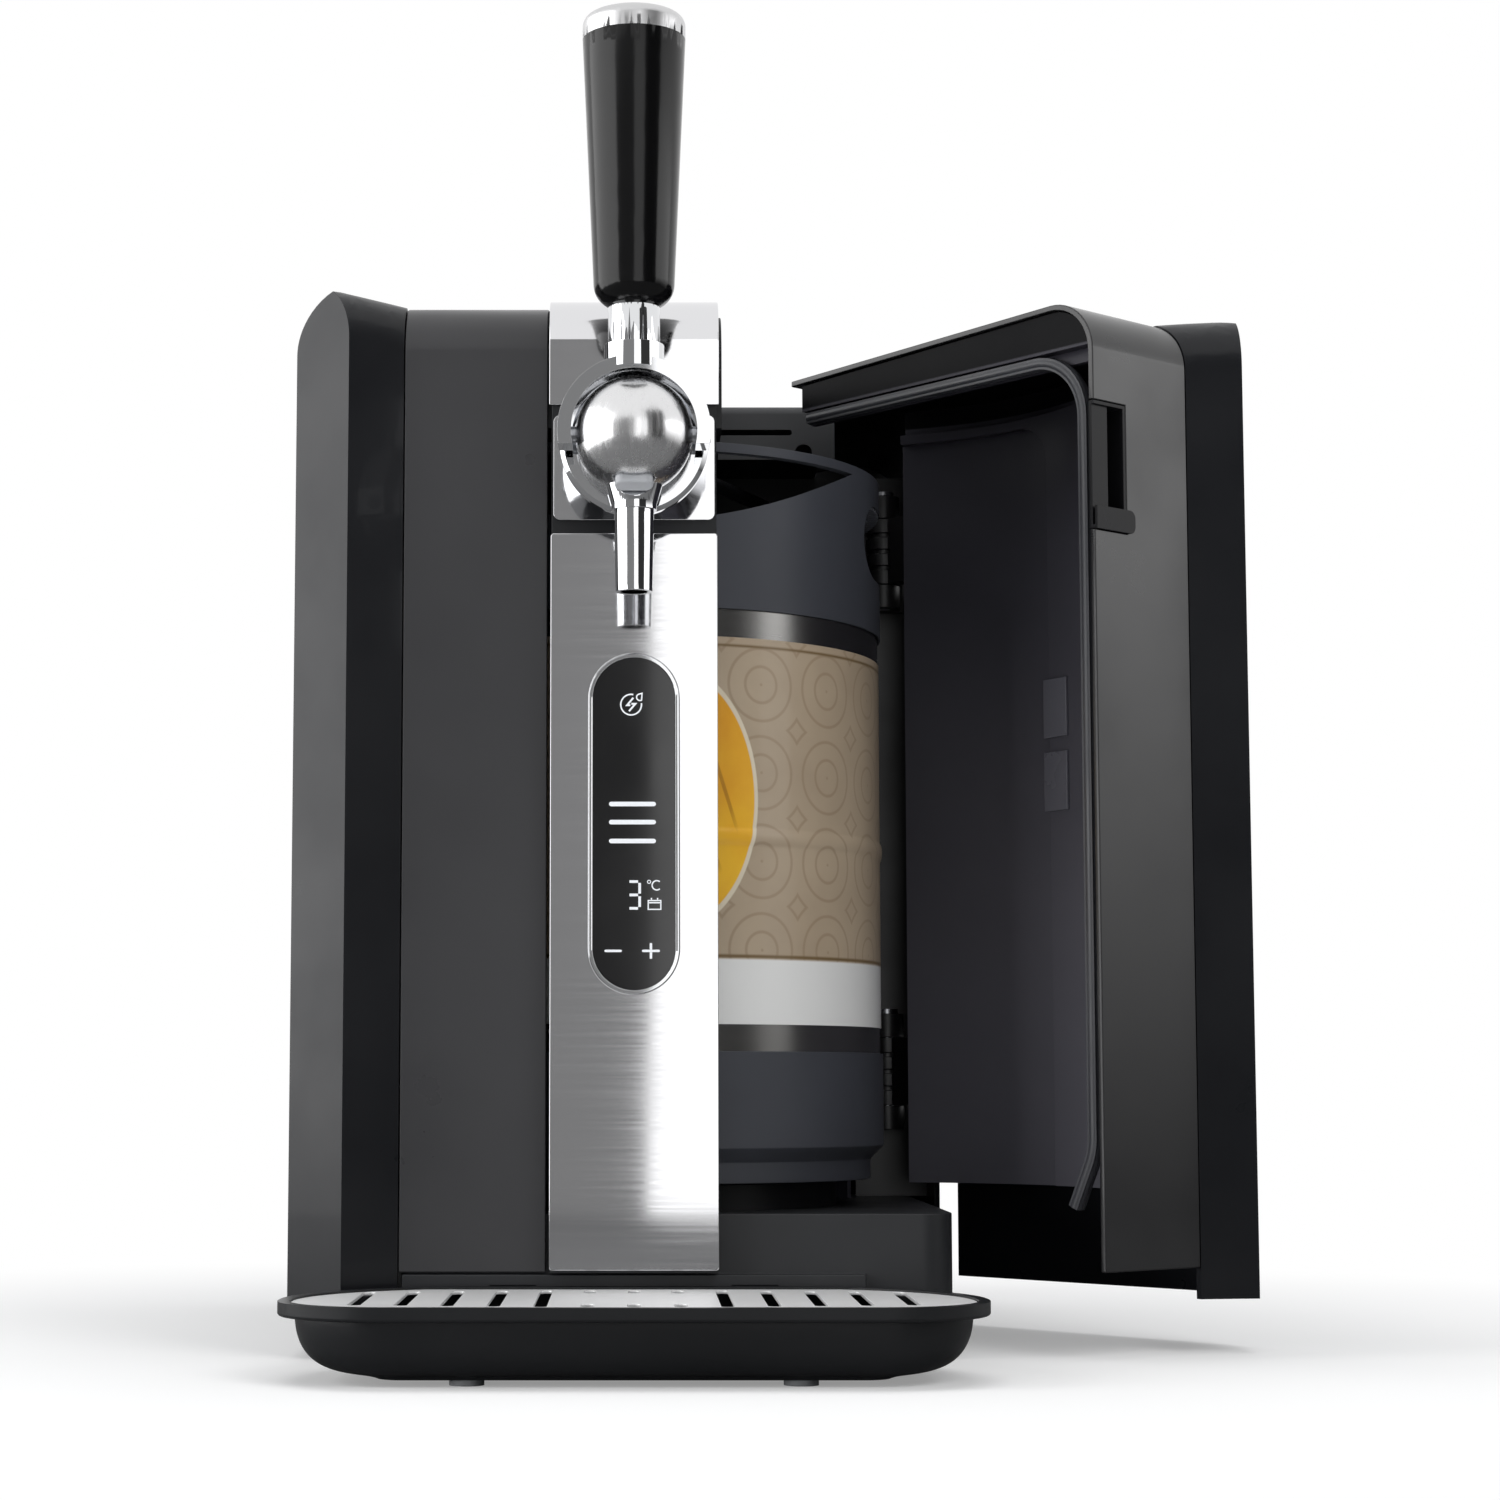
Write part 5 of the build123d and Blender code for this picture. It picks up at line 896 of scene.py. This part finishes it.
def stage_sheet(name, corners, material):
    """A flat four-cornered sheet that belongs to the stage and not to the machine."""
    mesh = bpy.data.meshes.new(name)
    mesh.from_pydata(corners, [], [(0, 1, 2, 3)])
    sheet = bpy.data.objects.new(name, mesh)
    bpy.context.scene.collection.objects.link(sheet)
    paint(sheet, material)
    return sheet


def make_floor():
    """Pale floor: it keeps the soft shadow under the machine and turns white further out."""
    material = bpy.data.materials.new("pale floor")
    network = emptied(material)
    # reflections see a darker table, so that glossy undersides stay dark
    tint = network.add("ShaderNodeMix", {
        0: seen_rays(network, "Is Glossy Ray"), 6: grey(FLOOR_COLOUR), 7: grey(FLOOR_REFLECTED),
    }, data_type="RGBA")
    plain = network.add("ShaderNodeBsdfDiffuse", {"Color": tint.outputs[2]})
    lift = network.add("ShaderNodeEmission", {"Strength": FLOOR_LIFT})
    shadowed = network.add("ShaderNodeBsdfDiffuse", {"Color": grey(FLOOR_SHADE)})
    near = network.add("ShaderNodeAddShader", {0: lift.outputs[0], 1: shadowed.outputs[0]})
    white = network.add("ShaderNodeEmission", {"Strength": 1.0})
    place = network.add("ShaderNodeTexCoord").outputs["Object"]
    distance = network.add("ShaderNodeVectorMath", {0: place}, operation="LENGTH").outputs["Value"]
    fade = network.add("ShaderNodeMapRange", {
        "Value": distance, "From Min": FADE_START, "From Max": FADE_END,
    }, interpolation_type="SMOOTHSTEP")
    shown = network.add("ShaderNodeMixShader", {
        0: fade.outputs["Result"], 1: near.outputs[0], 2: white.outputs[0],
    })
    choice = network.add("ShaderNodeMixShader", {
        0: seen_rays(network, "Is Camera Ray", "Is Transmission Ray"),
        1: plain.outputs[0], 2: shown.outputs[0],
    })
    network.add("ShaderNodeOutputMaterial", {0: choice.outputs[0]})
    far = FLOOR_REACH
    stage_sheet("floor", [(-far, -far, 0), (far, -far, 0), (far, far, 0), (-far, far, 0)], material)


def make_card(name, start, end, height, foot, head):
    """Upright card from start to end in plan, seen only in reflections; its glow goes from foot to head."""
    material = bpy.data.materials.new(name)
    network = emptied(material)
    place = network.add("ShaderNodeTexCoord").outputs["Object"]
    level = network.add("ShaderNodeSeparateXYZ", {0: place}).outputs["Z"]
    shade = network.add("ShaderNodeMapRange", {
        "Value": level, "From Min": 0.0, "From Max": height, "To Min": foot, "To Max": head,
    })
    glow = network.add("ShaderNodeEmission", {"Strength": shade.outputs["Result"]})
    network.add("ShaderNodeOutputMaterial", {0: glow.outputs[0]})
    corners = [(*start, 0.0), (*end, 0.0), (*end, height), (*start, height)]
    card = stage_sheet(name, corners, material)
    card.visible_camera = False
    card.visible_diffuse = False
    card.visible_shadow = False


def make_lamp(name, place, target, size, power):
    """A rectangular lamp that looks at its target and doesn't show in reflections."""
    data = bpy.data.lights.new(name, "AREA")
    data.shape = "RECTANGLE"
    data.size, data.size_y = size
    data.energy = power
    lamp = bpy.data.objects.new(name, data)
    lamp.location = place
    lamp.rotation_euler = (Vector(target) - Vector(place)).to_track_quat("-Z", "Y").to_euler()
    lamp.visible_glossy = False
    bpy.context.scene.collection.objects.link(lamp)


def make_world():
    """A soft sky as a light, and plain white for the camera, in reflections and through glass."""
    world = bpy.data.worlds.new("studio")
    network = emptied(world)
    soft = network.add("ShaderNodeBackground", {"Color": (0.95, 0.97, 1.0, 1.0), "Strength": WORLD_SOFT})
    bright = network.add("ShaderNodeBackground", {"Color": grey(1.0), "Strength": 1.0})
    rays = seen_rays(network, "Is Camera Ray", "Is Glossy Ray", "Is Transmission Ray")
    mix = network.add("ShaderNodeMixShader", {0: rays, 1: soft.outputs[0], 2: bright.outputs[0]})
    network.add("ShaderNodeOutputWorld", {0: mix.outputs[0]})
    bpy.context.scene.world = world


make_camera()
make_floor()
make_world()
make_lamp("key", place=(1.0, -1.3, 1.5), target=(0.0, -0.1, 0.2), size=(0.9, 1.1), power=12.0)
make_lamp("left_fill", place=(-1.5, -0.5, 0.8), target=(0.0, 0.0, 0.25), size=(0.6, 1.4), power=10.0)
make_lamp("front_left_fill", place=(-1.25, -1.25, 0.12), target=(0.15, 0.0, 0.15), size=(0.5, 0.3), power=9.0)
make_lamp("top", place=(0.0, 0.1, 1.8), target=(0.0, 0.0, 0.2), size=(1.4, 1.0), power=16.0)
# one row of cards stands round the front, from corner to corner
FAR_LEFT, FRONT_LEFT, FRONT_MIDDLE = (-1.5, 0.7), (-1.2, -1.45), (0.014, -1.45)
FRONT_RIGHT, RIGHT, FAR_RIGHT = (0.62, -1.45), (1.35, -0.85), (1.5, 0.4)
make_card("left_card", FAR_LEFT, FRONT_LEFT, height=1.3, foot=3.0, head=2.7)
make_card("front_grey_card", FRONT_LEFT, FRONT_MIDDLE, height=0.88, foot=0.24, head=0.26)
make_card("front_white_card", FRONT_MIDDLE, FRONT_RIGHT, height=0.88, foot=1.6, head=1.4)
make_card("dark_card", FRONT_RIGHT, RIGHT, height=1.4, foot=0.03, head=0.05)
make_card("right_card", RIGHT, FAR_RIGHT, height=0.8, foot=0.05, head=2.6)

bpy.context.scene.view_settings.view_transform = "Standard"
